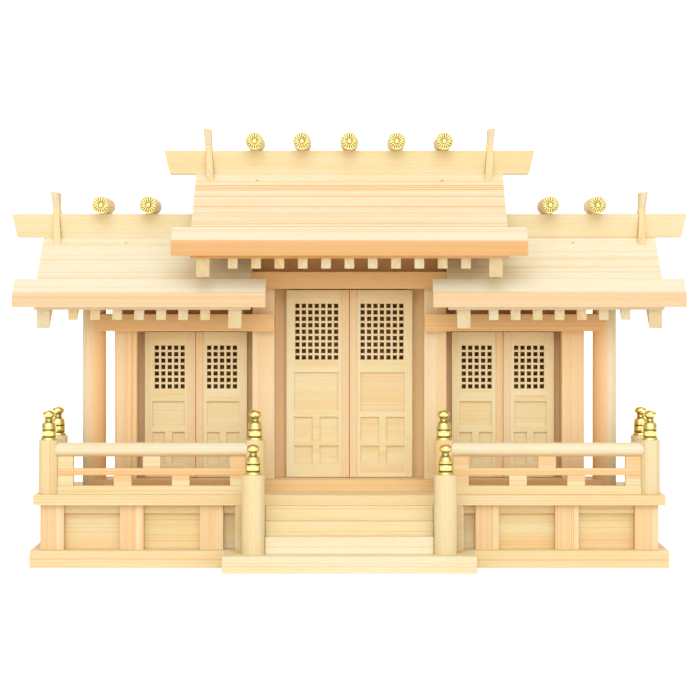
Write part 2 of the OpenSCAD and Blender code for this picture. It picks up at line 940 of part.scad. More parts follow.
// Places of the billets, as [x, height of the beam's top]
centre_billet_places = [
  for (i = [1:centre_billets]) [billet_pitch * i - centre_cross_x, centre_ridge_z + ridge_h]
];
side_billet_places = [
  for (i = [1:side_billets], s = [-1, 1])
    [s * (side_cross_x - billet_pitch * i), side_ridge_z + ridge_h]
];
billet_places = concat(centre_billet_places, side_billet_places);

module ridge_billets() {
  color(MID)
    for (p = billet_places)
      difference() {
        translate([p[0], ridge_y + billet_l / 2, p[1] + billet_d / 2 - billet_flat])
          rotate([90, 0, 0])
            cylinder(d = billet_d, h = billet_l);
        block(p[0] - billet_d, p[0] + billet_d, ridge_y - billet_l, ridge_y + billet_l,
              p[1] - billet_d, p[1]);
      }
}

// A billet's cap: rim, dished face and raised middle
module billet_cap() {
  r = cap_d / 2;
  rotate_extrude()
    polygon([
      [0, 0], [r, 0], [r, 0.5 * cap_h], [0.9 * r, 0.7 * cap_h], [0.72 * r, 0.55 * cap_h],
      [0.36 * r, 0.6 * cap_h], [0.3 * r, 0.9 * cap_h], [0.16 * r, cap_h], [0, cap_h]
    ]);
}

module billet_caps() {
  color(GOLD)
    for (p = billet_places, way = [-1, 1])
      translate([p[0], ridge_y + way * billet_l / 2, p[1] + billet_d / 2 - billet_flat])
        rotate([-90 * way, 0, 0])
          billet_cap();
}

// Doors

// A leaf w wide and h high: its outer edge lies at x = 0 and its meeting edge at x = w,
// its front face at y = 0, its underside at z = 0
module leaf(w, h) {
  edge = w - leaf_seam / 2;
  cols = floor((w - meeting_stile_w - stile_w - 0.5 + lattice_bar) / lattice_pitch);
  rows = round(0.3 * h / lattice_pitch);
  lattice_w = cols * lattice_pitch - lattice_bar;
  lattice_h = rows * lattice_pitch - lattice_bar;
  lattice_x = w - meeting_stile_w - lattice_w;
  lattice_z = h - top_rail_h - lattice_h;
  panel_w = w - meeting_stile_w - stile_w;
  panel_top = lattice_z - lock_rail_h;
  room = panel_top - bottom_rail_h - cross_rail_h - muntin_h;
  small_low = 0.22 * room;
  small_high = 0.3 * room;
  big_z = panel_top - 0.48 * room;
  small_w = (panel_w - muntin_w) / 2;
  difference() {
    union() {
      block(0, edge, 0, leaf_t, 0, h);
      block(w - strip_w / 2, edge, -strip_t, fuse, 0, h);
    }
    block(lattice_x, lattice_x + lattice_w, -leaf_t, 2 * leaf_t, lattice_z,
          lattice_z + lattice_h);
    for (y = [[-leaf_t, panel_recess], [leaf_t - panel_recess, 2 * leaf_t]]) {
      block(stile_w, stile_w + panel_w, y[0], y[1], big_z, panel_top);
      for (x = [stile_w, stile_w + small_w + muntin_w]) {
        block(x, x + small_w, y[0], y[1], bottom_rail_h, bottom_rail_h + small_low);
        block(x, x + small_w, y[0], y[1], bottom_rail_h + small_low + muntin_h,
              bottom_rail_h + small_low + muntin_h + small_high);
      }
    }
  }
  lattice(lattice_x, lattice_z, cols, rows, lattice_w, lattice_h);
  for (z = [-pivot_len, h - fuse])
    translate([pivot_in, leaf_t / 2, z])
      cylinder(d = pivot_d, h = pivot_len + fuse);
}

// Upright bars in front, level bars a little behind them, with the ends let in the frame
module lattice(x0, z0, cols, rows, w, h) {
  for (i = [1:cols - 1])
    block(x0 + i * lattice_pitch - lattice_bar, x0 + i * lattice_pitch,
          0.2 * leaf_t, 0.75 * leaf_t, z0 - fuse, z0 + h + fuse);
  for (i = [1:rows - 1])
    block(x0 - fuse, x0 + w + fuse, 0.28 * leaf_t, 0.7 * leaf_t,
          z0 + i * lattice_pitch - lattice_bar, z0 + i * lattice_pitch);
}

// A leaf in its doorway, whose middle is at mid_x: hand is -1 for the left leaf
module hung_leaf(mid_x, hand, w, doorway_h) {
  color(PALE)
    translate([mid_x, leaf_y, sill_top + leaf_gap_low])
      mirror([hand > 0 ? 1 : 0, 0, 0])
        translate([-w, 0, 0])
          leaf(w, doorway_h - leaf_gap_low - leaf_gap_high);
}

module centre_left_door() {
  hung_leaf(0, -1, centre_leaf_w, centre_door_h);
}

module centre_right_door() {
  hung_leaf(0, 1, centre_leaf_w, centre_door_h);
}

module left_shrine_left_door() {
  hung_leaf(-side_mid_x, -1, side_leaf_w, side_door_h);
}

module left_shrine_right_door() {
  hung_leaf(-side_mid_x, 1, side_leaf_w, side_door_h);
}

module right_shrine_left_door() {
  hung_leaf(side_mid_x, -1, side_leaf_w, side_door_h);
}

module right_shrine_right_door() {
  hung_leaf(side_mid_x, 1, side_leaf_w, side_door_h);
}

placed() plinth_front_and_back();
placed() plinth_sides();
placed() base_posts();
placed() base_rails();
placed() base_panels();
placed() veranda_floor();
placed() stair_sill();
placed() step(1);  // bottom_step
placed() step(2);  // middle_step
placed() step(3);  // top_step
placed() stair_cheeks();
placed() newel_posts();
placed() balustrade_posts();
placed() handrails();
placed() middle_rails();
placed() lower_rails();
placed() rail_struts();
placed() post_finials();
placed() threshold();
placed() wall_posts();
placed() round_columns();
placed() side_head_beams();
placed() centre_head_beam();
placed() door_jambs();
placed() upper_front_walls();
placed() outer_side_walls();
placed() centre_side_walls();
placed() back_walls();
placed() roof_front_boards();
placed() roof_back_boards();
placed() eave_bars();
placed() front_end_rafters();
placed() small_rafters();
placed() ridge_beams();
placed() chigi_row(-1);  // front_chigi
placed() chigi_row(1);  // back_chigi
placed() ridge_billets();
placed() billet_caps();
placed() centre_left_door();
placed() centre_right_door();
placed() left_shrine_left_door();
placed() left_shrine_right_door();
placed() right_shrine_left_door();
placed() right_shrine_right_door();
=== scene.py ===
"""Looks of a household altar of plain cypress, laid out as an add-on.

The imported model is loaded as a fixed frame. Each operator finishes one group of pieces.
"""
import json
import math
import random

import bmesh
import bpy
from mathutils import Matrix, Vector


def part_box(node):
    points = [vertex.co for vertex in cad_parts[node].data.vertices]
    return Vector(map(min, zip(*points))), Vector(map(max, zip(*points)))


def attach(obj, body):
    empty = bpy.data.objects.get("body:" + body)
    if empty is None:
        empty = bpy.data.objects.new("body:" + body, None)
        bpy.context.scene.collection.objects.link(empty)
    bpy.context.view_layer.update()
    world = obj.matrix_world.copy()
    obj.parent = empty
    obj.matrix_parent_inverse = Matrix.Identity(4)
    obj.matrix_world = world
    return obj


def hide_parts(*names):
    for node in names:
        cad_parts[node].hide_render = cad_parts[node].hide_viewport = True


bl_info = {
    "name": "Household altar looks",
    "version": (1, 0, 0),
    "blender": (4, 5, 0),
    "location": "3D View > Sidebar > Altar",
    "description": "Wood, gilt caps, floor, light and camera for a three-shrine altar",
    "category": "Object",
}

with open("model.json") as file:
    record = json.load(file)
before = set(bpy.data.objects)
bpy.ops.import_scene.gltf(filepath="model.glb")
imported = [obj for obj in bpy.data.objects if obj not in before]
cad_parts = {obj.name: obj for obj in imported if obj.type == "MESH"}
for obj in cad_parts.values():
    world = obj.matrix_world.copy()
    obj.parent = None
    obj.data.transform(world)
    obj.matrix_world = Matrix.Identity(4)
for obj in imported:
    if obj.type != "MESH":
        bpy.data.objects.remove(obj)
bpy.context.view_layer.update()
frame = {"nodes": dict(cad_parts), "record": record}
SLOTS = {row["node"]: row["material_slot"] for row in frame["record"]["subparts"]}
MM = 0.001


def srgb(red, green, blue):
    """A colour given as on a screen, 0 to 255, in linear light."""
    linear = []
    for value in (red, green, blue):
        share = value / 255
        linear.append(share / 12.92 if share <= 0.04045 else ((share + 0.055) / 1.055) ** 2.4)
    return (*linear, 1.0)


# Settings


def colour_setting(name, description, value):
    return bpy.props.FloatVectorProperty(
        name=name, description=description, subtype="COLOR", size=4, min=0, max=1, default=value
    )


def length_setting(name, description, value):
    return bpy.props.FloatProperty(
        name=name, description=description, unit="LENGTH", subtype="DISTANCE", min=0,
        precision=5, default=value,
    )


def share_setting(name, description, value):
    return bpy.props.FloatProperty(
        name=name, description=description, subtype="FACTOR", min=0, max=1, default=value
    )


def strength_setting(name, description, value):
    return bpy.props.FloatProperty(name=name, description=description, min=0, default=value)


class AltarWoodSettings(bpy.types.PropertyGroup):
    """Colours and figure of the planed cypress."""

    pale: colour_setting("Sapwood", "Palest wood between the rings", srgb(233, 238, 218))
    straw: colour_setting("Straw", "Yellower wood of beams and bars", srgb(229, 219, 172))
    heart: colour_setting("Heartwood", "Pinkish wood near the pith", srgb(230, 188, 134))
    late: colour_setting("Late wood", "Thin dark line that ends a year ring", srgb(226, 173, 102))
    ring: length_setting("Ring width", "Distance from one year ring to the next", 1.5 * MM)
    contrast: share_setting("Ring contrast", "How strongly the year rings show", 0.67)
    arris: length_setting("Arris", "Width of the eased edges", 0.35 * MM)
    fine_arris: length_setting("Fine arris", "Width of the eased edges on thin bars", 0.12 * MM)


class AltarGiltSettings(bpy.types.PropertyGroup):
    """Colours and relief of the gilt caps."""

    gold: colour_setting("Gilt", "Polished gilt metal", srgb(243, 236, 160))
    hollow: colour_setting("Hollows", "Darker gilt in grooves", srgb(98, 80, 14))
    petals: bpy.props.IntProperty(
        name="Flutes", description="Flutes round a billet's cap", min=6, max=32, default=16
    )
    flute: length_setting("Flute depth", "Depth of a flute on a billet's cap", 0.45 * MM)


class AltarStageSettings(bpy.types.PropertyGroup):
    """Floor, light and camera."""

    floor: colour_setting("Floor", "Paper of the floor and backdrop", (0.9, 0.9, 0.9, 1))
    glow: strength_setting("Floor glow", "Light that the paper gives off by itself", 0.45)
    key: strength_setting("Key light", "Strength of the light from above", 0.9)
    tent: strength_setting("Light tent", "Strength of the soft light from the front", 1.35)
    room: strength_setting("Room light", "Strength of the light from all round", 0.47)
    warmth: colour_setting("Room colour", "Colour of the light from all round", (1, 0.75, 0.56, 1))
    tent_colour: colour_setting("Tent colour", "Colour of the soft light", (1, 0.87, 0.79, 1))
    sky: strength_setting("Top light", "Strength of the soft light from above", 0.35)
    distance: length_setting("Camera distance", "From the camera to the middle", 2.0706)
    height: length_setting("Camera height", "From the floor to the camera", 0.2502)
    lens: bpy.props.FloatProperty(
        name="Lens", description="Focal length in millimetres", min=20, max=300, default=116.3
    )


# Node trees


class Wiring:
    """Adds nodes to one tree and links them."""

    def __init__(self, tree):
        self.tree = tree

    def add(self, kind, inputs=(), **settings):
        made = self.tree.nodes.new(kind)
        for key, value in settings.items():
            setattr(made, key, value)
        for key, value in dict(inputs).items():
            self.feed(made.inputs[key], value)
        return made

    def feed(self, socket, value):
        if isinstance(value, bpy.types.NodeSocket):
            self.tree.links.new(value, socket)
        elif value is not None:
            socket.default_value = value

    def math(self, operation, a, b=None, c=None, clamp=False):
        made = self.add("ShaderNodeMath", operation=operation, use_clamp=clamp)
        for socket, value in zip(made.inputs, (a, b, c)):
            self.feed(socket, value)
        return made.outputs[0]

    def attribute(self, name, output="Fac"):
        return self.add("ShaderNodeAttribute", attribute_name=name).outputs[output]

    def scaled(self, place, x, y, z):
        made = self.add("ShaderNodeVectorMath", {0: place, 1: (x, y, z)}, operation="MULTIPLY")
        return made.outputs[0]

    def noise(self, place, detail=2.0, roughness=0.5):
        made = self.add(
            "ShaderNodeTexNoise",
            {"Vector": place, "Scale": 1.0, "Detail": detail, "Roughness": roughness},
        )
        return made.outputs[0]

    def ramp(self, value, low, high, to_low=0.0, to_high=1.0, smooth=True):
        made = self.add(
            "ShaderNodeMapRange", interpolation_type="SMOOTHSTEP" if smooth else "LINEAR"
        )
        for key, given in (
            ("Value", value), ("From Min", low), ("From Max", high),
            ("To Min", to_low), ("To Max", to_high),
        ):
            self.feed(made.inputs[key], given)
        return made.outputs[0]

    def mix(self, share, a, b, blend="MIX"):
        made = self.add("ShaderNodeMix", data_type="RGBA", blend_type=blend)
        self.feed(made.inputs[0], share)
        self.feed(made.inputs[6], a)
        self.feed(made.inputs[7], b)
        return made.outputs[2]


def new_group(name, kind, inputs, outputs):
    """A node group with named sockets, and its wiring, input and output nodes."""
    tree = bpy.data.node_groups.new(name, kind)
    for label, socket in inputs:
        tree.interface.new_socket(label, in_out="INPUT", socket_type=socket)
    for label, socket in outputs:
        tree.interface.new_socket(label, in_out="OUTPUT", socket_type=socket)
    wiring = Wiring(tree)
    return wiring, wiring.add("NodeGroupInput"), wiring.add("NodeGroupOutput")


# Waves per metre along the stem and the two ways across it
SLOW_WAVES, QUICK_WAVES = (1.6, 30, 30), (7, 160, 160)
CLOUDS, FIBRES = (7, 75, 75), (90, 2600, 2600)
# How far rings wander from their circles in slow and in quick waves
SLOW_DRIFT, QUICK_DRIFT = 3 * MM, 0.5 * MM
# A year from 0 to 1: where its ring starts to darken and is darkest, then where it starts to
# fade and is gone
RING_RISE, RING_FALL = (0.1, 0.88), (0.93, 1.0)
FAINTEST_RING = 0.16
TONE_SPREAD = 0.22
FIBRE_SHARE = 0.22
# Tint that darkens end grain, and also paints shade on the eave bars' fronts and the back walls'
# inner faces
END_GRAIN_AND_SHADE_TINT = (0.84, 0.83, 0.77, 1)
# Eased edges are lightened: partly crushed fibre, partly a painted highlight
ARRIS_FIBRE_AND_HIGHLIGHT_TINT, ARRIS_FIBRE_AND_HIGHLIGHT_SHARE = (1.0, 0.96, 0.86, 1), 0.12
WOOD_ROUGHNESS, RING_SMOOTHER = (0.5, 0.62), 0.12
RING_HEIGHT, FIBRE_HEIGHT = 0.6, 0.5
# How far a slot's sapwood leans towards the heartwood
WARMTH = {"warm_wood": 0.15}


def cypress_group():
    """Year rings, heartwood and fibre of a straight-grained softwood.

    Grain At holds metres: along the stem first, then the two ways across it from the pith.
    Piece holds tone, radius of the heartwood and a seed. Figure holds the strengths of the
    heartwood's colour, of the rings and of the darkening at end grain and of painted shade.
    Border is how wide the heartwood's edge is. Edge marks the eased edges, lightened for
    crushed fibre and partly as a painted highlight.
    """
    name = "cypress figure"
    if name in bpy.data.node_groups:
        return bpy.data.node_groups[name]
    w, given, out = new_group(
        name, "ShaderNodeTree",
        [
            ("Grain At", "NodeSocketVector"), ("Piece", "NodeSocketVector"),
            ("Edge", "NodeSocketFloat"), ("Figure", "NodeSocketVector"),
            ("Border", "NodeSocketFloat"), ("Sapwood", "NodeSocketColor"),
            ("Straw", "NodeSocketColor"), ("Heartwood", "NodeSocketColor"),
            ("Late Wood", "NodeSocketColor"), ("Ring Width", "NodeSocketFloat"),
            ("Ring Contrast", "NodeSocketFloat"),
        ],
        [
            ("Colour", "NodeSocketColor"), ("Roughness", "NodeSocketFloat"),
            ("Height", "NodeSocketFloat"),
        ],
    )
    place = given.outputs["Grain At"]
    across = w.add("ShaderNodeSeparateXYZ", {0: place})
    piece = w.add("ShaderNodeSeparateXYZ", {0: given.outputs["Piece"]})
    tone, heart_radius, seed = piece.outputs
    figure = w.add("ShaderNodeSeparateXYZ", {0: given.outputs["Figure"]})
    depth, ring_strength, dark = figure.outputs

    slow = w.math("SUBTRACT", w.noise(w.scaled(place, *SLOW_WAVES), 1.0), 0.5)
    quick = w.math("SUBTRACT", w.noise(w.scaled(place, *QUICK_WAVES), 2.0), 0.5)
    drift = w.math("ADD", w.math("MULTIPLY", slow, SLOW_DRIFT),
                   w.math("MULTIPLY", quick, QUICK_DRIFT))
    square = w.math("ADD", w.math("POWER", across.outputs[1], 2.0),
                    w.math("POWER", across.outputs[2], 2.0))
    radius = w.math("ADD", w.math("SQRT", square), drift)

    count = w.math("DIVIDE", radius, given.outputs["Ring Width"])
    year = w.math("FLOOR", count)
    season = w.math("FRACT", count)
    chance = w.add("ShaderNodeTexWhiteNoise", {"W": w.math("ADD", year, seed)},
                   noise_dimensions="1D").outputs[0]
    strength = w.ramp(w.math("POWER", chance, 2.0), 0, 1, FAINTEST_RING, 1.0, smooth=False)
    rise = w.ramp(season, *RING_RISE)
    fall = w.ramp(season, *RING_FALL)
    ring = w.math("MULTIPLY", w.math("SUBTRACT", rise, fall), strength)
    ring = w.math("MULTIPLY", ring, ring_strength)
    ring = w.math("MULTIPLY", ring, given.outputs["Ring Contrast"], clamp=True)

    cloud = w.noise(w.scaled(place, *CLOUDS), 2.0)
    cloud = w.ramp(cloud, 0.3, 0.7, -TONE_SPREAD, TONE_SPREAD, smooth=False)
    shade = w.math("ADD", tone, cloud, clamp=True)
    body = w.mix(shade, given.outputs["Sapwood"], given.outputs["Straw"])
    inner = w.math("DIVIDE", w.math("SUBTRACT", heart_radius, radius), given.outputs["Border"])
    inner = w.ramp(inner, -0.5, 0.5)
    inner = w.math("MULTIPLY", inner, depth, clamp=True)
    body = w.mix(inner, body, given.outputs["Heartwood"])
    body = w.mix(ring, body, given.outputs["Late Wood"])
    fibre = w.noise(w.scaled(place, *FIBRES), 2.0, 0.6)
    body = w.mix(w.ramp(fibre, 0.35, 0.75, 0.0, FIBRE_SHARE), body, given.outputs["Late Wood"])
    # Darker at end grain, and painted shade on the faces that the recipes pick
    end_grain_and_shade = w.mix(1.0, body, END_GRAIN_AND_SHADE_TINT, blend="MULTIPLY")
    body = w.mix(dark, body, end_grain_and_shade)
    # Eased edges lighter: crushed fibre, and partly a painted highlight
    light = w.mix(1.0, body, ARRIS_FIBRE_AND_HIGHLIGHT_TINT, blend="SCREEN")
    body = w.mix(w.math("MULTIPLY", given.outputs["Edge"], ARRIS_FIBRE_AND_HIGHLIGHT_SHARE), body, light)

    rough = w.math("ADD", w.ramp(fibre, 0.3, 0.7, *WOOD_ROUGHNESS),
                   w.math("MULTIPLY", ring, -RING_SMOOTHER))
    height = w.math("ADD", w.math("MULTIPLY", ring, RING_HEIGHT),
                    w.math("MULTIPLY", fibre, FIBRE_HEIGHT))
    w.feed(out.inputs["Colour"], body)
    w.feed(out.inputs["Roughness"], rough)
    w.feed(out.inputs["Height"], height)
    return w.tree


def fresh_material(name):
    """A material with one plain shader, its wiring and that shader."""
    material = bpy.data.materials.new(name)
    material.use_nodes = True
    material.node_tree.nodes.clear()
    wiring = Wiring(material.node_tree)
    shader = wiring.add("ShaderNodeBsdfPrincipled")
    end = wiring.add("ShaderNodeOutputMaterial")
    wiring.feed(end.inputs["Surface"], shader.outputs[0])
    return material, wiring, shader


def wood_material(slot):
    """Planed cypress for a slot."""
    name = "planed_" + slot
    if name in bpy.data.materials:
        return bpy.data.materials[name]
    wood = bpy.context.scene.altar_wood
    warmth = WARMTH.get(slot, 0.0)
    material, w, shader = fresh_material(name)
    sap = [a + (b - a) * warmth for a, b in zip(wood.pale, wood.heart)]
    straw = [a + (b - a) * warmth for a, b in zip(wood.straw, wood.heart)]
    figure = w.add("ShaderNodeGroup", node_tree=cypress_group())
    for label, value in (
        ("Grain At", w.attribute("grain_at", "Vector")), ("Piece", w.attribute("piece", "Vector")),
        ("Edge", w.attribute("arris")), ("Figure", w.attribute("figure", "Vector")),
        ("Border", w.attribute("border")), ("Sapwood", sap), ("Straw", straw),
        ("Heartwood", wood.heart), ("Late Wood", wood.late),
        ("Ring Width", wood.ring), ("Ring Contrast", wood.contrast),
    ):
        w.feed(figure.inputs[label], value)
    w.feed(shader.inputs["Base Color"], figure.outputs["Colour"])
    w.feed(shader.inputs["Roughness"], figure.outputs["Roughness"])
    bump = w.add("ShaderNodeBump", {"Strength": 0.35, "Distance": 0.12 * MM,
                                    "Height": figure.outputs["Height"]})
    w.feed(shader.inputs["Normal"], bump.outputs[0])
    shader.inputs["Specular IOR Level"].default_value = 0.2
    return material


def gilt_material():
    """Polished gilt sheet, darker where the attribute hollow says so."""
    name = "gilt_sheet"
    if name in bpy.data.materials:
        return bpy.data.materials[name]
    gilt = bpy.context.scene.altar_gilt
    material, w, shader = fresh_material(name)
    place = w.add("ShaderNodeTexCoord").outputs["Object"]
    hollow = w.attribute("hollow")
    cloud = w.noise(w.scaled(place, 240, 240, 240), 3.0)
    dull = w.math("ADD", hollow, w.ramp(cloud, 0.45, 0.75, 0.0, 0.12), clamp=True)
    w.feed(shader.inputs["Base Color"], w.mix(dull, gilt.gold, gilt.hollow))
    w.feed(shader.inputs["Roughness"], w.ramp(dull, 0, 1, 0.07, 0.35, smooth=False))
    fine = w.noise(w.scaled(place, 1500, 1500, 1500), 2.0)
    bump = w.add("ShaderNodeBump", {"Strength": 0.12, "Distance": 0.1 * MM, "Height": fine})
    w.feed(shader.inputs["Normal"], bump.outputs[0])
    shader.inputs["Metallic"].default_value = 1.0
    return material


# Timber

# How each node's pieces are cut from a stem. Two numbers are the ends of a random draw.
# tone: share of straw in the sapwood
# heart: share of the piece, from the pith outwards, that is heartwood, so over 1 is all of it
# depth: strength of the heartwood's colour; border: width of its edge in millimetres
# pith: distance to the pith in millimetres
# toward: way to the pith; without it, cut is the angle in degrees between the width of the
#     piece and that way, small for upright rings and large for rings flat in the face
# rings: how strongly they show; dark: painted shade, how much the faces on the side of the
# pith are darkened
# along: way of the grain, where that isn't the longest edge; flat_grain: it lies level
# heart_on: faces that look this way are all heartwood, painted shade on undersides and inner
# faces; inside_shade: these are also darkened, as painted shade
# middle, right: what differs for pieces within MIDDLE of the middle, or to the right of it
MIDDLE = 120 * MM
# Added to the heartwood's radius, it takes in every piece
WHOLE = 1000 * MM
# Figure of a face in painted shade: all heartwood, strong rings, darkened
INSIDE_SHADE_FIGURE = (1.0, 6.0, 1.0)
# Lowest cosines that count as end grain, as the side of the pith and as looking one way
END_GRAIN, PITH_SIDE, LOOKS = 0.6, 0.5, 0.2
PLAIN = {"tone": (0.6, 0.8), "heart": (-0.6, -0.3), "depth": (0.4, 0.7), "cut": (20, 50),
         "pith": (60, 130), "rings": 1.0, "dark": 0.0, "border": 1.4}
TIMBER = {
    "plinth_front_and_back": {"tone": (0.8, 0.9), "heart": (0.0, 0.2), "cut": (30, 60)},
    "plinth_sides": {"tone": (0.8, 0.9), "heart": (0.0, 0.2)},
    "base_posts": {"tone": (0.5, 0.6), "heart": (0.7, 0.76), "depth": (0.35, 0.45), "rings": 1.5,
                   "toward": (-1, 0.1, 0)},
    "base_rails": {"tone": (0.7, 0.9), "heart": (-0.2, 0.3)},
    "base_panels": {"tone": (0.7, 1.0), "heart": (0.1, 0.6), "depth": (0.2, 0.4),
                    "along": (1, 0, 0)},
    "veranda_floor": {"tone": (0.85, 0.85), "cut": (60, 70)},
    "stair_sill": {"tone": (0.45, 0.45), "rings": 0.6},
    "bottom_step": {"tone": (0.2, 0.2), "rings": 0.7},
    "middle_step": {"tone": (0.8, 0.8), "rings": 0.8},
    "top_step": {"tone": (0.9, 0.9), "rings": 0.6},
    "stair_cheeks": {"tone": (0.6, 0.8), "heart": (-0.2, 0.1), "along": (0, 1, 0)},
    "newel_posts": {"tone": (0.7, 0.8), "cut": (50, 70), "rings": 0.4},
    "balustrade_posts": {"tone": (0.6, 0.9), "heart": (-0.2, 0.3), "cut": (10, 40)},
    # Heartwood on the lower part of the handrails: painted shade underneath
    "handrails": {"tone": (0.2, 0.3), "heart": (0.3, 0.3), "depth": (0.5, 0.5),
                  "toward": (0, 0.3, -1), "rings": 0.5},
    "middle_rails": {"tone": (0.8, 1.0), "heart": (0.8, 0.82), "depth": (0.6, 0.8),
                     "toward": (0, 0.2, -1)},
    "lower_rails": {"tone": (0.8, 1.0), "heart": (0.5, 1.2), "depth": (0.4, 0.6)},
    "rail_struts": {"tone": (0.6, 0.9), "heart": (-0.2, 1.0), "flat_grain": True},
    "threshold": {"tone": (0.8, 0.8), "heart": (1.2, 1.2), "depth": (0.6, 0.6)},
    "wall_posts": {"tone": (0.4, 0.5), "heart": (1.0, 1.2), "depth": (0.5, 0.6),
                   "middle": {"heart": (0.5, 0.9), "depth": (0.3, 0.4)}, "cut": (0, 15),
                   "rings": 1.4},
    # Heartwood on each column's inner side with a wide soft edge: painted shade on the side that
    # the shrine shades
    "round_columns": {"tone": (0.4, 0.5), "heart": (0.43, 0.44), "depth": (0.85, 0.85),
                      "border": 13, "toward": (1, -0.4, 0), "right": {"toward": (-1, -0.4, 0)}},
    # All heartwood, orange: partly wood colour, partly painted shade under the eaves
    "side_head_beams": {"tone": (0.9, 1.0), "heart": (1.2, 1.2), "depth": (0.7, 0.8),
                        "rings": 1.5},
    # All heartwood, orange: partly wood colour, partly painted shade under the eave
    "centre_head_beam": {"tone": (1, 1), "heart": (1.2, 1.2), "depth": (0.85, 0.85), "rings": 1.5},
    "door_jambs": {"tone": (0.2, 0.3), "heart": (1.2, 1.2), "depth": (0.6, 0.7)},
    "upper_front_walls": {"tone": (0.8, 1.0), "heart": (1.2, 1.4), "depth": (0.9, 1.0)},
    "outer_side_walls": {"tone": (0.7, 0.9), "heart": (-0.2, 0.1)},
    # All heartwood inside and out: painted shade inside the middle shrine and beside the side
    # roofs
    "centre_side_walls": {"tone": (0.7, 0.9), "heart": (1.2, 1.2), "depth": (0.8, 0.9)},
    # The inner face is all heartwood and darkened: painted shade inside the shrine, seen through
    # the lattice
    "back_walls": {"tone": (0.7, 1.0), "heart": (-0.2, 0.3), "depth": (0.2, 0.4),
                   "heart_on": (0, -1, 0), "inside_shade": True},
    # Undersides all heartwood: painted shade under the roof
    "roof_front_boards": {"tone": (0.0, 0.1), "middle": {"tone": (0.25, 0.25), "rings": 1.8},
                          "cut": (50, 60), "pith": (110, 140), "heart_on": (0, 0, -1)},
    # Undersides all heartwood: painted shade under the roof
    "roof_back_boards": {"tone": (0.1, 0.4), "cut": (50, 60), "pith": (110, 140),
                         "heart_on": (0, 0, -1)},
    # Heartwood on the fronts and undersides, in the middle also darkened: partly wood colour,
    # partly painted shade on faces turned down from the light
    "eave_bars": {"tone": (0.0, 0.05), "heart": (0.2, 0.21), "depth": (0.55, 0.6),
                  "middle": {"depth": (1, 1), "dark": 0.5, "rings": 0.8}, "toward": (0, -1, -0.3),
                  "rings": 0.5, "dark": 0.25},
    "front_end_rafters": {"tone": (0.3, 0.8), "heart": (-0.4, 0.2)},
    "small_rafters": {"tone": (0.1, 0.8), "heart": (-0.6, 0.6), "depth": (0.2, 0.6)},
    "ridge_beams": {"tone": (0.6, 0.7), "middle": {"tone": (0.9, 0.95)},
                    "toward": (0, 0.3, -1), "rings": 0.6},
    "front_chigi": {"tone": (0.9, 1.0)},
    # Palest sapwood: painted light on the face seen from the front, which leans down into shade
    "back_chigi": {"tone": (0.0, 0.1)},
    "ridge_billets": {"tone": (0.5, 0.8), "heart": (0.0, 0.5), "depth": (0.2, 0.4)},
}

# Sizes of a door leaf, as in the model. Stiles, half of the cover strip and the widest bar
# are widths, and head rail and lattice foot are heights below the leaf's top. The strip
# stands out in front of the leaf, and the panels lie deeper than its faces. What lies less
# deep than SKIN is on a face.
STILE = 7 * MM
MEETING_STILE = 9.95 * MM
STRIP_HALF = 5.9 * MM
WIDEST_BAR = 4.5 * MM
HEAD_RAIL = 24 * MM
LATTICE_FOOT = 70 * MM
LEAF_T = 6 * MM
STRIP_OUT = 1.6 * MM
PANEL_IN = 1.8 * MM
SKIN = 0.2 * MM

SAME_PLACE = 0.01 * MM
# Angles between faces: flat up to the first, round between the next two, sharp from the last
FLAT, ROUND_FROM, ROUND_TO, SHARP_FROM = [math.radians(angle) for angle in (0.5, 1, 20, 25)]


def solids_of(mesh, cuts=()):
    """The solids of a mesh, each as a bmesh with its flat faces whole.

    Cuts are places along X where the faces are parted, for wood that meets there.
    """
    whole = bmesh.new()
    whole.from_mesh(mesh)
    bmesh.ops.remove_doubles(whole, verts=whole.verts, dist=SAME_PLACE)
    for x in cuts:
        parted = bmesh.ops.bisect_plane(
            whole, geom=whole.verts[:] + whole.edges[:] + whole.faces[:],
            plane_co=(x, 0, 0), plane_no=(1, 0, 0), dist=SAME_PLACE / 2,
        )
        for item in parted["geom_cut"]:
            if isinstance(item, bmesh.types.BMEdge):
                item.seam = True
    whole.verts.index_update()
    solid_of = {}
    solids = []
    for first in whole.verts:
        if first.index in solid_of:
            continue
        number = len(solids)
        solid_of[first.index] = number
        waiting = [first]
        while waiting:
            for edge in waiting.pop().link_edges:
                for vert in edge.verts:
                    if vert.index not in solid_of:
                        solid_of[vert.index] = number
                        waiting.append(vert)
        solids.append(bmesh.new())
    copies = [solids[solid_of[v.index]].verts.new(v.co) for v in whole.verts]
    for face in whole.faces:
        solid = solids[solid_of[face.verts[0].index]]
        made = solid.faces.new([copies[v.index] for v in face.verts])
        for old, new in zip(face.loops, made.loops):
            new.edge.seam = new.edge.seam or old.edge.seam
    whole.free()
    for solid in solids:
        solid.normal_update()
        bmesh.ops.dissolve_limit(
            solid, angle_limit=FLAT, verts=solid.verts, edges=solid.edges,
            delimit={"NORMAL", "SEAM"},
        )
        solid.normal_update()
    return solids


def ease_edges(solid, width):
    """Takes the sharpness off the outer edges and marks the narrow faces made there."""
    arris = solid.faces.layers.float.new("arris")
    round_side = {
        face for edge in solid.edges if edge.is_manifold
        and ROUND_FROM < edge.calc_face_angle(0.0) < ROUND_TO
        for face in edge.link_faces
    }
    for face in round_side:
        face.smooth = True
    sharp = [
        edge for edge in solid.edges
        if edge.is_manifold and edge.is_convex and edge.calc_face_angle(0.0) > SHARP_FROM
    ]
    made = bmesh.ops.bevel(
        solid, geom=sharp, offset=width, offset_type="OFFSET", segments=2, profile=0.5,
        affect="EDGES", clamp_overlap=True,
    )
    for face in made["faces"]:
        face.smooth = False
        face[arris] = 1.0


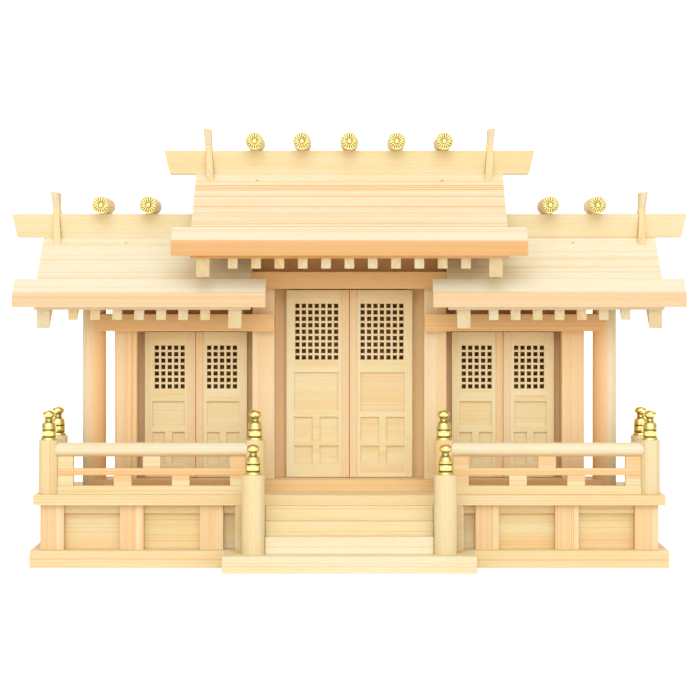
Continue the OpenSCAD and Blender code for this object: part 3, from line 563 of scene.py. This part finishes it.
def corners(part):
    """Lowest and highest corner of a solid or of a face."""
    return (Vector([min(v.co[i] for v in part.verts) for i in range(3)]),
            Vector([max(v.co[i] for v in part.verts) for i in range(3)]))


def add_layers(solid):
    """Attributes that tell the wood's material how a piece was cut."""
    return (
        solid.loops.layers.float_vector.new("grain_at"),
        solid.faces.layers.float_vector.new("piece"),
        solid.faces.layers.float_vector.new("figure"),
        solid.faces.layers.float.new("border"),
    )


def stem_ways(faces, along=None):
    """Three directions of a board: along its grain, across its width, through it."""
    if along is None:
        edges = {edge for face in faces for edge in face.edges}
        longest = max(edges, key=lambda e: (round(e.calc_length(), 6), -e.index))
        along = longest.verts[1].co - longest.verts[0].co
    along = Vector(along).normalized()
    if max(along, key=abs) < 0:
        along.negate()
    flat = [face for face in faces if abs(face.normal.dot(along)) < 0.3]
    widest = max(flat or faces, key=lambda f: (round(f.calc_area(), 9), -f.index))
    through = widest.normal - along * widest.normal.dot(along)
    if through.length < 0.1:
        through = along.orthogonal()
    through.normalize()
    return along, along.cross(through), through


def lay_grain(faces, layers, ways, recipe, rng):
    """Writes to the faces where in a stem they were cut from."""
    grain_at, piece, figure, border = layers
    along, width, through = ways
    places = [vert.co for face in faces for vert in face.verts]
    centre = sum(places, Vector()) / len(places)
    away = rng.uniform(*recipe["pith"]) * MM
    if "toward" in recipe:
        to_pith = Vector(recipe["toward"])
        to_pith = (to_pith - along * to_pith.dot(along)).normalized()
    else:
        cut = math.radians(rng.uniform(*recipe["cut"]))
        to_pith = width * math.cos(cut) * rng.choice((-1, 1))
        to_pith += through * math.sin(cut) * rng.choice((-1, 1))
    pith = centre + to_pith * away
    radii = [
        math.hypot((place - pith).dot(width), (place - pith).dot(through)) for place in places
    ]
    heart = rng.uniform(*recipe["heart"])
    heart_radius = min(radii) + heart * (max(radii) - min(radii))
    tone, seed, shift = rng.uniform(*recipe["tone"]), rng.uniform(0, 900), rng.uniform(0, 8)
    depth = rng.uniform(*recipe["depth"])
    for face in faces:
        face[piece] = (tone, heart_radius, round(seed))
        # Painted shade: faces on the side of the pith are darkened by the recipe's dark
        dark = recipe["dark"] if face.normal.dot(to_pith) > PITH_SIDE else 0.0
        face[figure] = (depth, recipe["rings"], dark)
        face[border] = recipe["border"] * MM
        if abs(face.normal.dot(along)) > END_GRAIN:
            face[figure].z = 1.0
        elif "heart_on" in recipe and face.normal.dot(Vector(recipe["heart_on"])) > LOOKS:
            face[piece].y = heart_radius + WHOLE
            face[figure].x = 1.0
            # Painted shade on faces deep inside
            if recipe.get("inside_shade"):
                face[figure] = INSIDE_SHADE_FIGURE
        for loop in face.loops:
            d = loop.vert.co - pith
            loop[grain_at] = (d.dot(along) + shift, d.dot(width), d.dot(through))


def new_piece(name, mesh, material, body):
    """Links a finished mesh as a piece that rides on a body."""
    mesh.materials.clear()
    mesh.materials.append(material)
    made = bpy.data.objects.new(name, mesh)
    bpy.context.scene.collection.objects.link(made)
    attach(made, body)
    return made


def joined(solids, name):
    """One mesh of several solids."""
    whole = bmesh.new()
    for solid in solids:
        step = bpy.data.meshes.new("step")
        solid.to_mesh(step)
        solid.free()
        whole.from_mesh(step)
        bpy.data.meshes.remove(step)
    mesh = bpy.data.meshes.new(name)
    whole.to_mesh(mesh)
    whole.free()
    return mesh


def plane_node(node):
    """Replaces a wooden CAD node by a copy with eased edges and its own grain."""
    wood = bpy.context.scene.altar_wood
    recipe = {**PLAIN, **TIMBER[node]}
    solids = solids_of(frame["nodes"][node].data)
    for number, solid in enumerate(solids):
        rng = random.Random(f"{node} {number}")
        ease_edges(solid, wood.arris)
        layers = add_layers(solid)
        low, high = corners(solid)
        along = recipe.get("along")
        if recipe.get("flat_grain"):
            along = (1, 0, 0) if high.x - low.x > high.y - low.y else (0, 1, 0)
        x = (low.x + high.x) / 2
        cut_as = recipe
        if abs(x) < MIDDLE:
            cut_as = {**recipe, **recipe.get("middle", {})}
        elif x > 0:
            cut_as = {**recipe, **recipe.get("right", {})}
        faces = solid.faces[:]
        lay_grain(faces, layers, stem_ways(faces, along), cut_as, rng)
    name, slot = node + "_planed", SLOTS[node]
    piece = new_piece(name, joined(solids, name), wood_material(slot), "altar")
    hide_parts(node)


UPRIGHT, LEVEL = (0, 0, 1), (1, 0, 0)
LEAF_WOOD = {
    "stile": (UPRIGHT, {"tone": (0.6, 0.8), "cut": (0, 20), "rings": 0.6}),
    "strip": (UPRIGHT, {"tone": (0.2, 0.4), "heart": (1.2, 1.2), "depth": (0.4, 0.5),
                        "cut": (0, 20)}),
    "rail": (LEVEL, {"tone": (0.7, 0.9), "heart": (-0.3, 0.1), "cut": (60, 90), "rings": 0.6}),
    # All heartwood: painted shade under the head beam
    "head rail": (LEVEL, {"tone": (0.6, 0.8), "heart": (1.2, 1.2), "depth": (0.7, 0.9)}),
    # All heartwood, darkest: painted shade on the bars' sides inside the lattice
    "bar side": (LEVEL, {"tone": (1, 1), "heart": (1.2, 1.2), "depth": (0.9, 0.9)}),
    "panel": (LEVEL, {"tone": (0.7, 0.9), "heart": (-0.3, 0.6), "depth": (0.1, 0.3),
                      "cut": (0, 20), "rings": 0.8}),
    "upright bar": (UPRIGHT, {"tone": (0.6, 0.8), "rings": 0.5}),
    "level bar": (LEVEL, {"tone": (0.6, 0.8), "rings": 0.5}),
}


def leaf_part(face, low, high, hand):
    """Which part of a leaf a face belongs to; hand is -1 for a leaf hung on its left."""
    place = face.calc_center_median()
    from_heel = place.x - low.x if hand < 0 else high.x - place.x
    leaf_w = high.x - low.x
    depth = place.y - (low.y + STRIP_OUT)
    is_inside = SKIN < depth < LEAF_T - SKIN
    is_lattice = place.z > high.z - LATTICE_FOOT
    if from_heel > leaf_w - STRIP_HALF - 0.1 * MM and depth < 0.02 * MM:
        return "strip"
    if from_heel < STILE or from_heel > leaf_w - MEETING_STILE:
        return "stile"
    if abs(face.normal.y) > 0.9:
        if min(abs(depth - PANEL_IN), abs(depth - LEAF_T + PANEL_IN)) < 0.1 * MM:
            first, last = corners(face)
            narrow = min(last.x - first.x, last.z - first.z) < WIDEST_BAR
            return "level bar" if narrow and is_lattice else "panel"
        if is_inside:
            return "upright bar"
    elif is_inside and is_lattice:
        return "bar side"
    return "head rail" if place.z > high.z - HEAD_RAIL else "rail"


def joiner_leaf(node):
    """Replaces a door leaf by a copy with the grain of its stiles, rails and panels."""
    wood = bpy.context.scene.altar_wood
    low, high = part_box(node)
    hand = -1 if node.endswith("left_door") else 1
    cuts = (low.x + STILE, high.x - MEETING_STILE)
    if hand > 0:
        cuts = (low.x + MEETING_STILE, high.x - STILE)
    solids = solids_of(frame["nodes"][node].data, cuts)
    for solid in solids:
        ease_edges(solid, wood.fine_arris)
        layers = add_layers(solid)
        parts = {}
        for face in solid.faces:
            parts.setdefault(leaf_part(face, low, high, hand), []).append(face)
        for part, faces in sorted(parts.items()):
            along, recipe = LEAF_WOOD[part]
            rng = random.Random(f"{node} {part}")
            lay_grain(faces, layers, stem_ways(faces, along), {**PLAIN, **recipe}, rng)
    name, slot = node + "_joined", SLOTS[node]
    piece = new_piece(name, joined(solids, name), wood_material(slot), node + "_leaf")
    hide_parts(node)


# Turned metal

# Outlines of turned pieces as shares of the radius and of the height, from the middle of
# the foot to the middle of the top, with how hollow each place is
CAP_OUTLINE = [
    (0, 0, 0), (1, 0, 0.3), (1, 0.05, 0), (0.98, 0.075, 0.1), (0.9, 0.095, 0.3),
    (0.86, 0.105, 0.5), (0.8, 0.118, 1), (0.8, 0.128, 1), (0.86, 0.142, 0.2),
    (0.875, 0.2, 0), (0.87, 0.28, 0), (0.86, 0.325, 0.2), (0.78, 0.338, 1), (0.78, 0.35, 1),
    (0.86, 0.365, 0.2), (0.85, 0.45, 0), (0.83, 0.52, 0), (0.76, 0.565, 0),
    (0.66, 0.59, 0.1), (0.54, 0.608, 0.3), (0.45, 0.635, 0.6), (0.43, 0.68, 0.4),
    (0.44, 0.73, 0.9), (0.56, 0.75, 0.6), (0.7, 0.785, 0.2), (0.765, 0.83, 0),
    (0.77, 0.865, 0), (0.74, 0.9, 0), (0.65, 0.935, 0), (0.5, 0.96, 0), (0.3, 0.975, 0.1),
    (0.1, 0.99, 0), (0, 1, 0),
]
DISC_OUTLINE = [
    (0, 0, 0), (1, 0, 0.2), (1, 0.35, 0), (0.985, 0.52, 0), (0.955, 0.6, 0), (0.92, 0.58, 0.1),
    (0.88, 0.5, 0.6), (0.8, 0.56, 0), (0.7, 0.6, 0), (0.6, 0.62, 0), (0.48, 0.6, 0),
    (0.38, 0.52, 0.3), (0.34, 0.52, 0.8), (0.3, 0.75, 0.2), (0.2, 0.93, 0), (0.1, 0.98, 0),
    (0, 1, 0),
]
# How far the flutes are cut at each place of the disc's outline
DISC_FLUTED = [0, 0, 0, 0, 0, 0, 0.5, 1, 1, 1, 1, 0.6, 0, 0, 0, 0, 0]
NAIL_OUTLINE = [
    (0, 0, 0), (1, 0, 1), (1, 0.4, 0.4), (0.92, 0.6, 0.1), (0.75, 0.8, 0), (0.5, 0.93, 0),
    (0.25, 0.98, 0), (0.1, 1, 0), (0, 1, 0),
]
CREASE = math.radians(42)
FACETS_PER_FLUTE, FLUTE_SHARPNESS = 8, 2.5

ROOF_PITCH = math.radians(38)
HALF_RIDGE = 10 * MM
NAIL_SUNK = 0.05 * MM
# How far nails lie in front of a ridge beam, and at which shares of a roof's width, which a
# side roof counts from the middle outwards
MIDDLE_NAIL_OUT, MIDDLE_NAILS = 8.5 * MM, (0.2, 0.8)
SIDE_NAIL_OUT, SIDE_NAILS = 6.5 * MM, (0.605,)


def turned_tree(name, outline, fluted=None):
    """Geometry nodes that turn an outline on a lathe and put the piece on every point.

    A point's attribute turn says how its piece is turned.
    """
    tree = bpy.data.node_groups.new(name, "GeometryNodeTree")
    tree.interface.new_socket("Places", in_out="INPUT", socket_type="NodeSocketGeometry")
    for label, kind in (("Diameter", "NodeSocketFloat"), ("Height", "NodeSocketFloat"),
                        ("Facets", "NodeSocketInt"), ("Flutes", "NodeSocketInt"),
                        ("Flute Depth", "NodeSocketFloat"), ("Finish", "NodeSocketMaterial")):
        tree.interface.new_socket(label, in_out="INPUT", socket_type=kind)
    tree.interface.new_socket("Pieces", in_out="OUTPUT", socket_type="NodeSocketGeometry")
    w = Wiring(tree)
    given = w.add("NodeGroupInput").outputs
    out = w.add("NodeGroupOutput")
    rows = len(outline)
    grid = w.add("GeometryNodeMeshGrid", {
        "Size X": 1.0, "Size Y": 1.0, "Vertices Y": rows,
        "Vertices X": w.math("ADD", given["Facets"], 1),
    })
    spot = w.add("ShaderNodeSeparateXYZ", {0: w.add("GeometryNodeInputPosition").outputs[0]})
    angle = w.math("MULTIPLY", w.math("ADD", spot.outputs[0], 0.5), 2 * math.pi)
    step = w.math("ADD", spot.outputs[1], 0.5)

    def curve(values):
        """Value at each step of the outline, straight in between."""
        made = w.add("ShaderNodeFloatCurve", {"Value": step, "Factor": 1.0})
        line = made.mapping.curves[0]
        for i, value in enumerate(values):
            share = i / (rows - 1)
            if i in (0, rows - 1):
                point = line.points[0 if i == 0 else -1]
                point.location = (share, value)
            else:
                point = line.points.new(share, value)
            point.handle_type = "VECTOR"
        made.mapping.update()
        return made.outputs[0]

    radius = w.math("MULTIPLY", curve([p[0] for p in outline]),
                    w.math("MULTIPLY", given["Diameter"], 0.5))
    up = w.math("MULTIPLY", curve([p[1] for p in outline]), given["Height"])
    hollow = curve([p[2] for p in outline])
    if fluted:
        wave = w.math("COSINE", w.math("MULTIPLY", angle, given["Flutes"]))
        groove = w.math("POWER", w.math("MULTIPLY_ADD", wave, 0.5, 0.5), FLUTE_SHARPNESS)
        groove = w.math("MULTIPLY", groove, curve(fluted))
        up = w.math("SUBTRACT", up, w.math("MULTIPLY", groove, given["Flute Depth"]))
        hollow = w.math("MAXIMUM", hollow, groove)
    place = w.add("ShaderNodeCombineXYZ", {
        0: w.math("MULTIPLY", radius, w.math("COSINE", angle)),
        1: w.math("MULTIPLY", radius, w.math("SINE", angle)),
        2: up,
    })
    noted = w.add("GeometryNodeStoreNamedAttribute", {
        "Geometry": grid.outputs["Mesh"], "Name": "hollow", "Value": hollow,
    }, data_type="FLOAT", domain="POINT")
    shaped = w.add("GeometryNodeSetPosition", {0: noted.outputs[0], "Position": place.outputs[0]})
    closed = w.add("GeometryNodeMergeByDistance", {0: shaped.outputs[0], "Distance": 0.002 * MM})
    turn = w.add("GeometryNodeInputNamedAttribute", {"Name": "turn"}, data_type="FLOAT_VECTOR")
    spun = w.add("FunctionNodeEulerToRotation", {0: turn.outputs[0]})
    placed = w.add("GeometryNodeInstanceOnPoints", {
        "Points": given["Places"], "Instance": closed.outputs[0], "Rotation": spun.outputs[0],
    })
    real = w.add("GeometryNodeRealizeInstances", {0: placed.outputs[0]})
    finished = w.add("GeometryNodeSetMaterial", {
        "Geometry": real.outputs[0], "Material": given["Finish"],
    })
    w.feed(out.inputs[0], finished.outputs[0])
    return tree


def turned_pieces(name, places, tree, sizes, nodes=()):
    """Grows one turned piece on each place, as a plain mesh that rides on the altar."""
    seeds = bpy.data.meshes.new(name + "_places")
    seeds.from_pydata([place for place, _ in places], [], [])
    turn = seeds.attributes.new("turn", "FLOAT_VECTOR", "POINT")
    for spot, (_, angles) in zip(turn.data, places):
        spot.vector = angles
    grower = bpy.data.objects.new(name + "_places", seeds)
    bpy.context.scene.collection.objects.link(grower)
    modifier = grower.modifiers.new("turned", "NODES")
    modifier.node_group = tree
    material = gilt_material()
    for socket in tree.interface.items_tree:
        if socket.in_out == "INPUT" and socket.name in sizes:
            modifier[socket.identifier] = sizes[socket.name]
        elif socket.name == "Finish":
            modifier[socket.identifier] = material
    depsgraph = bpy.context.evaluated_depsgraph_get()
    mesh = bpy.data.meshes.new_from_object(grower.evaluated_get(depsgraph))
    bpy.data.objects.remove(grower)
    if not mesh.polygons:
        raise RuntimeError(f"{name} grew nothing")
    body = bmesh.new()
    body.from_mesh(mesh)
    if body.calc_volume(signed=True) < 0:
        bmesh.ops.reverse_faces(body, faces=body.faces)
    for face in body.faces:
        face.smooth = True
    body.to_mesh(mesh)
    body.free()
    mesh.set_sharp_from_angle(angle=CREASE)
    mesh.name = name
    piece = new_piece(name, mesh, material, "altar")
    if nodes:
        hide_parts(*nodes)


def solid_boxes(node):
    """Lowest and highest corner of each solid of a CAD node."""
    boxes = []
    for solid in solids_of(frame["nodes"][node].data):
        boxes.append(corners(solid))
        solid.free()
    return boxes


# Operators


class PlaneTimber:
    """Finishes the wooden nodes of one group."""

    nodes = ()

    def execute(self, context):
        for node in self.nodes:
            plane_node(node)
        return {"FINISHED"}


class ALTAR_OT_base(PlaneTimber, bpy.types.Operator):
    """Plinth, posts, rails and panels under the veranda, and its floor"""

    bl_idname = "altar.base"
    bl_label = "Base"
    nodes = ("plinth_front_and_back", "plinth_sides", "base_posts", "base_rails",
             "base_panels", "veranda_floor")


class ALTAR_OT_stairs(PlaneTimber, bpy.types.Operator):
    """Sill, steps, cheeks and newel posts"""

    bl_idname = "altar.stairs"
    bl_label = "Stairs"
    nodes = ("stair_sill", "bottom_step", "middle_step", "top_step", "stair_cheeks",
             "newel_posts")


class ALTAR_OT_balustrade(PlaneTimber, bpy.types.Operator):
    """Posts, rails and struts round the veranda"""

    bl_idname = "altar.balustrade"
    bl_label = "Balustrade"
    nodes = ("balustrade_posts", "handrails", "middle_rails", "lower_rails", "rail_struts")


class ALTAR_OT_shrines(PlaneTimber, bpy.types.Operator):
    """Threshold, posts, columns, beams, jambs and walls"""

    bl_idname = "altar.shrines"
    bl_label = "Shrines"
    nodes = ("threshold", "wall_posts", "round_columns", "side_head_beams",
             "centre_head_beam", "door_jambs", "upper_front_walls", "outer_side_walls",
             "centre_side_walls", "back_walls")


class ALTAR_OT_roofs(PlaneTimber, bpy.types.Operator):
    """Roof boards, eave bars and rafters"""

    bl_idname = "altar.roofs"
    bl_label = "Roofs"
    nodes = ("roof_front_boards", "roof_back_boards", "eave_bars", "front_end_rafters",
             "small_rafters")


class ALTAR_OT_ridges(PlaneTimber, bpy.types.Operator):
    """Ridge beams, crossed boards and billets"""

    bl_idname = "altar.ridges"
    bl_label = "Ridges"
    nodes = ("ridge_beams", "front_chigi", "back_chigi", "ridge_billets")


class ALTAR_OT_doors(bpy.types.Operator):
    """The six lattice leaves, each on its own body"""

    bl_idname = "altar.doors"
    bl_label = "Doors"

    def execute(self, context):
        for node in sorted(frame["nodes"]):
            if node.endswith("_door"):
                joiner_leaf(node)
        return {"FINISHED"}


class ALTAR_OT_post_caps(bpy.types.Operator):
    """Onion-shaped gilt caps on the posts"""

    bl_idname = "altar.post_caps"
    bl_label = "Post caps"

    def execute(self, context):
        boxes = solid_boxes("post_finials")
        low, high = boxes[0]
        places = [(((a.x + b.x) / 2, (a.y + b.y) / 2, a.z), (0, 0, 0)) for a, b in boxes]
        turned_pieces(
            "post_caps_turned", places, turned_tree("post cap", CAP_OUTLINE),
            {"Diameter": high.x - low.x, "Height": high.z - low.z, "Facets": 48},
            nodes=("post_finials",),
        )
        return {"FINISHED"}


class ALTAR_OT_billet_caps(bpy.types.Operator):
    """Fluted gilt discs on both ends of the ridge billets"""

    bl_idname = "altar.billet_caps"
    bl_label = "Billet caps"

    def execute(self, context):
        gilt = context.scene.altar_gilt
        boxes = solid_boxes("billet_caps")
        low, high = boxes[0]
        middle = sum((a.y + b.y) / 2 for a, b in boxes) / len(boxes)
        places = []
        for a, b in boxes:
            front = (a.y + b.y) / 2 < middle
            spot = ((a.x + b.x) / 2, b.y if front else a.y, (a.z + b.z) / 2)
            places.append((spot, (math.pi / 2 if front else -math.pi / 2, 0, 0)))
        turned_pieces(
            "billet_caps_fluted", places, turned_tree("billet cap", DISC_OUTLINE, DISC_FLUTED),
            {"Diameter": high.x - low.x, "Height": high.y - low.y,
             "Facets": FACETS_PER_FLUTE * gilt.petals, "Flutes": gilt.petals,
             "Flute Depth": gilt.flute},
            nodes=("billet_caps",),
        )
        return {"FINISHED"}


class ALTAR_OT_nails(bpy.types.Operator):
    """Small nail heads that hold the roof boards under the ridges"""

    bl_idname = "altar.nails"
    bl_label = "Nails"

    def execute(self, context):
        places = []
        for low, high in solid_boxes("roof_front_boards"):
            is_middle = low.x * high.x < 0
            out = MIDDLE_NAIL_OUT if is_middle else SIDE_NAIL_OUT
            y = high.y - HALF_RIDGE - out
            z = high.z - out * math.tan(ROOF_PITCH) - NAIL_SUNK
            for share in MIDDLE_NAILS if is_middle else SIDE_NAILS:
                x = low.x + share * (high.x - low.x)
                if high.x < 0:
                    x = high.x - share * (high.x - low.x)
                places.append(((x, y, z), (ROOF_PITCH, 0, 0)))
                places.append(((x, 2 * high.y - y, z), (-ROOF_PITCH, 0, 0)))
        turned_pieces(
            "roof_nails", places, turned_tree("nail head", NAIL_OUTLINE),
            {"Diameter": 2.6 * MM, "Height": 0.4 * MM, "Facets": 16},
        )
        return {"FINISHED"}


# Stage

# The paper sweep in metres: rows of its floor, start and radius of its bend, its size
FLOOR_AT = (-9.0, -3.0, 0.0, 3.0)
BEND_AT, BEND_RADIUS, BEND_STEPS = 6.0, 2.5, 16
HALF_WIDTH, TOP = 11.0, 9.0

KEY_COLOUR = (0.78, 1.0, 1.16)
KEY_SPREAD = math.radians(45)
KEY_FROM = (0.0, -1.0, 0.8)
DIM_PAPER = (0.9, 0.88, 0.85, 1)
# How far the picture is moved beside and above the lens, as shares of its width
LENS_SHIFT = (0.0009, -0.0929)


def stage_mesh():
    """Floor that runs on into an upright backdrop, as one curved sheet."""
    line = [(y, 0.0) for y in FLOOR_AT]
    for step in range(BEND_STEPS + 1):
        angle = math.pi / 2 * step / BEND_STEPS
        line.append((BEND_AT + BEND_RADIUS * math.sin(angle),
                     BEND_RADIUS * (1 - math.cos(angle))))
    line.append((BEND_AT + BEND_RADIUS, TOP))
    verts = [(x, y, z) for y, z in line for x in (-HALF_WIDTH, HALF_WIDTH)]
    faces = [(2 * i, 2 * i + 1, 2 * i + 3, 2 * i + 2) for i in range(len(line) - 1)]
    mesh = bpy.data.meshes.new("paper_sweep")
    mesh.from_pydata(verts, [], faces)
    mesh.polygons.foreach_set("use_smooth", [True] * len(faces))
    return mesh


def paper_material():
    """Backlit paper: the camera sees it nearly white, and it throws less light back."""
    stage = bpy.context.scene.altar_stage
    material, w, shader = fresh_material("paper")
    place = w.add("ShaderNodeTexCoord").outputs["Object"]
    cloud = w.noise(w.scaled(place, 40, 40, 40), 3.0)
    tint = [0.99 * value for value in stage.floor[:3]] + [1.0]
    w.feed(shader.inputs["Base Color"], w.mix(cloud, stage.floor, tint))
    shader.inputs["Roughness"].default_value = 0.9
    shader.inputs["Specular IOR Level"].default_value = 0.1
    shader.inputs["Emission Color"].default_value = (1, 1, 1, 1)
    shader.inputs["Emission Strength"].default_value = stage.glow
    dim = w.add("ShaderNodeBsdfDiffuse", {"Color": DIM_PAPER})
    path = w.add("ShaderNodeLightPath").outputs
    seen = w.math("MAXIMUM", path["Is Camera Ray"], path["Is Glossy Ray"])
    both = w.add("ShaderNodeMixShader", {0: seen, 1: dim.outputs[0], 2: shader.outputs[0]})
    end = next(node for node in w.tree.nodes if node.type == "OUTPUT_MATERIAL")
    w.feed(end.inputs["Surface"], both.outputs[0])
    return material


def tent_world():
    """Soft light from all round, stronger from the front and from above.

    The camera sees it white, like the paper.
    """
    stage = bpy.context.scene.altar_stage
    world = bpy.data.worlds.new("light_tent")
    world.use_nodes = True
    world.node_tree.nodes.clear()
    w = Wiring(world.node_tree)
    way = w.add("ShaderNodeSeparateXYZ", {0: w.add("ShaderNodeTexCoord").outputs["Generated"]})
    front = w.math("MAXIMUM", w.math("MULTIPLY", way.outputs[1], -1.0), 0.0)
    lobe = w.math("MULTIPLY", w.math("POWER", front, 2.0), stage.tent)
    top = w.math("MULTIPLY", w.math("MAXIMUM", way.outputs[2], 0.0), stage.sky)
    whole = w.math("ADD", w.math("ADD", lobe, top), stage.room)
    share = w.math("DIVIDE", stage.room, whole)
    light = w.add("ShaderNodeBackground", {
        "Color": w.mix(share, stage.tent_colour, stage.warmth), "Strength": whole,
    })
    plain = w.add("ShaderNodeBackground", {"Color": (1, 1, 1, 1)})
    seen = w.add("ShaderNodeLightPath").outputs["Is Camera Ray"]
    both = w.add("ShaderNodeMixShader", {0: seen, 1: light.outputs[0], 2: plain.outputs[0]})
    end = w.add("ShaderNodeOutputWorld")
    w.feed(end.inputs["Surface"], both.outputs[0])
    return world


class ALTAR_OT_stage(bpy.types.Operator):
    """Pale paper floor and backdrop, soft lights and the camera"""

    bl_idname = "altar.stage"
    bl_label = "Stage"

    def execute(self, context):
        stage = context.scene.altar_stage
        mesh = stage_mesh()
        mesh.materials.append(paper_material())
        floor = bpy.data.objects.new("paper_sweep", mesh)
        context.scene.collection.objects.link(floor)
        light = bpy.data.lights.new("key", "SUN")
        light.energy = stage.key
        light.color = KEY_COLOUR
        light.angle = KEY_SPREAD
        lamp = bpy.data.objects.new("key", light)
        lamp.rotation_euler = Vector(KEY_FROM).to_track_quat("Z", "Y").to_euler()
        context.scene.collection.objects.link(lamp)
        context.scene.world = tent_world()
        lens = bpy.data.cameras.new("camera")
        lens.lens = stage.lens
        lens.shift_x, lens.shift_y = LENS_SHIFT
        lens.clip_start, lens.clip_end = 0.05, 60
        camera = bpy.data.objects.new("camera", lens)
        camera.location = (0, -stage.distance, stage.height)
        camera.rotation_euler = (math.pi / 2, 0, 0)
        context.scene.collection.objects.link(camera)
        context.scene.camera = camera
        context.scene.view_settings.view_transform = "Standard"
        return {"FINISHED"}


STEPS = (
    ALTAR_OT_stage, ALTAR_OT_base, ALTAR_OT_stairs, ALTAR_OT_balustrade, ALTAR_OT_shrines,
    ALTAR_OT_doors, ALTAR_OT_roofs, ALTAR_OT_ridges, ALTAR_OT_post_caps,
    ALTAR_OT_billet_caps, ALTAR_OT_nails,
)


class ALTAR_PT_panel(bpy.types.Panel):
    """Lists the settings and the steps that dress the altar"""

    bl_idname = "ALTAR_PT_panel"
    bl_label = "Household altar"
    bl_space_type = "VIEW_3D"
    bl_region_type = "UI"
    bl_category = "Altar"

    def draw(self, context):
        for group in (context.scene.altar_wood, context.scene.altar_gilt,
                      context.scene.altar_stage):
            box = self.layout.box()
            for key in group.__annotations__:
                box.prop(group, key)
        for step in STEPS:
            self.layout.operator(step.bl_idname)


CLASSES = (AltarWoodSettings, AltarGiltSettings, AltarStageSettings, *STEPS, ALTAR_PT_panel)
SETTINGS = {
    "altar_wood": AltarWoodSettings,
    "altar_gilt": AltarGiltSettings,
    "altar_stage": AltarStageSettings,
}


def register():
    for kind in CLASSES:
        bpy.utils.register_class(kind)
    for name, kind in SETTINGS.items():
        setattr(bpy.types.Scene, name, bpy.props.PointerProperty(type=kind))


def unregister():
    for name in SETTINGS:
        delattr(bpy.types.Scene, name)
    for kind in reversed(CLASSES):
        bpy.utils.unregister_class(kind)


def main():
    register()
    for step in STEPS:
        group, name = step.bl_idname.split(".")
        getattr(getattr(bpy.ops, group), name)()


if __name__ == "__main__":
    main()
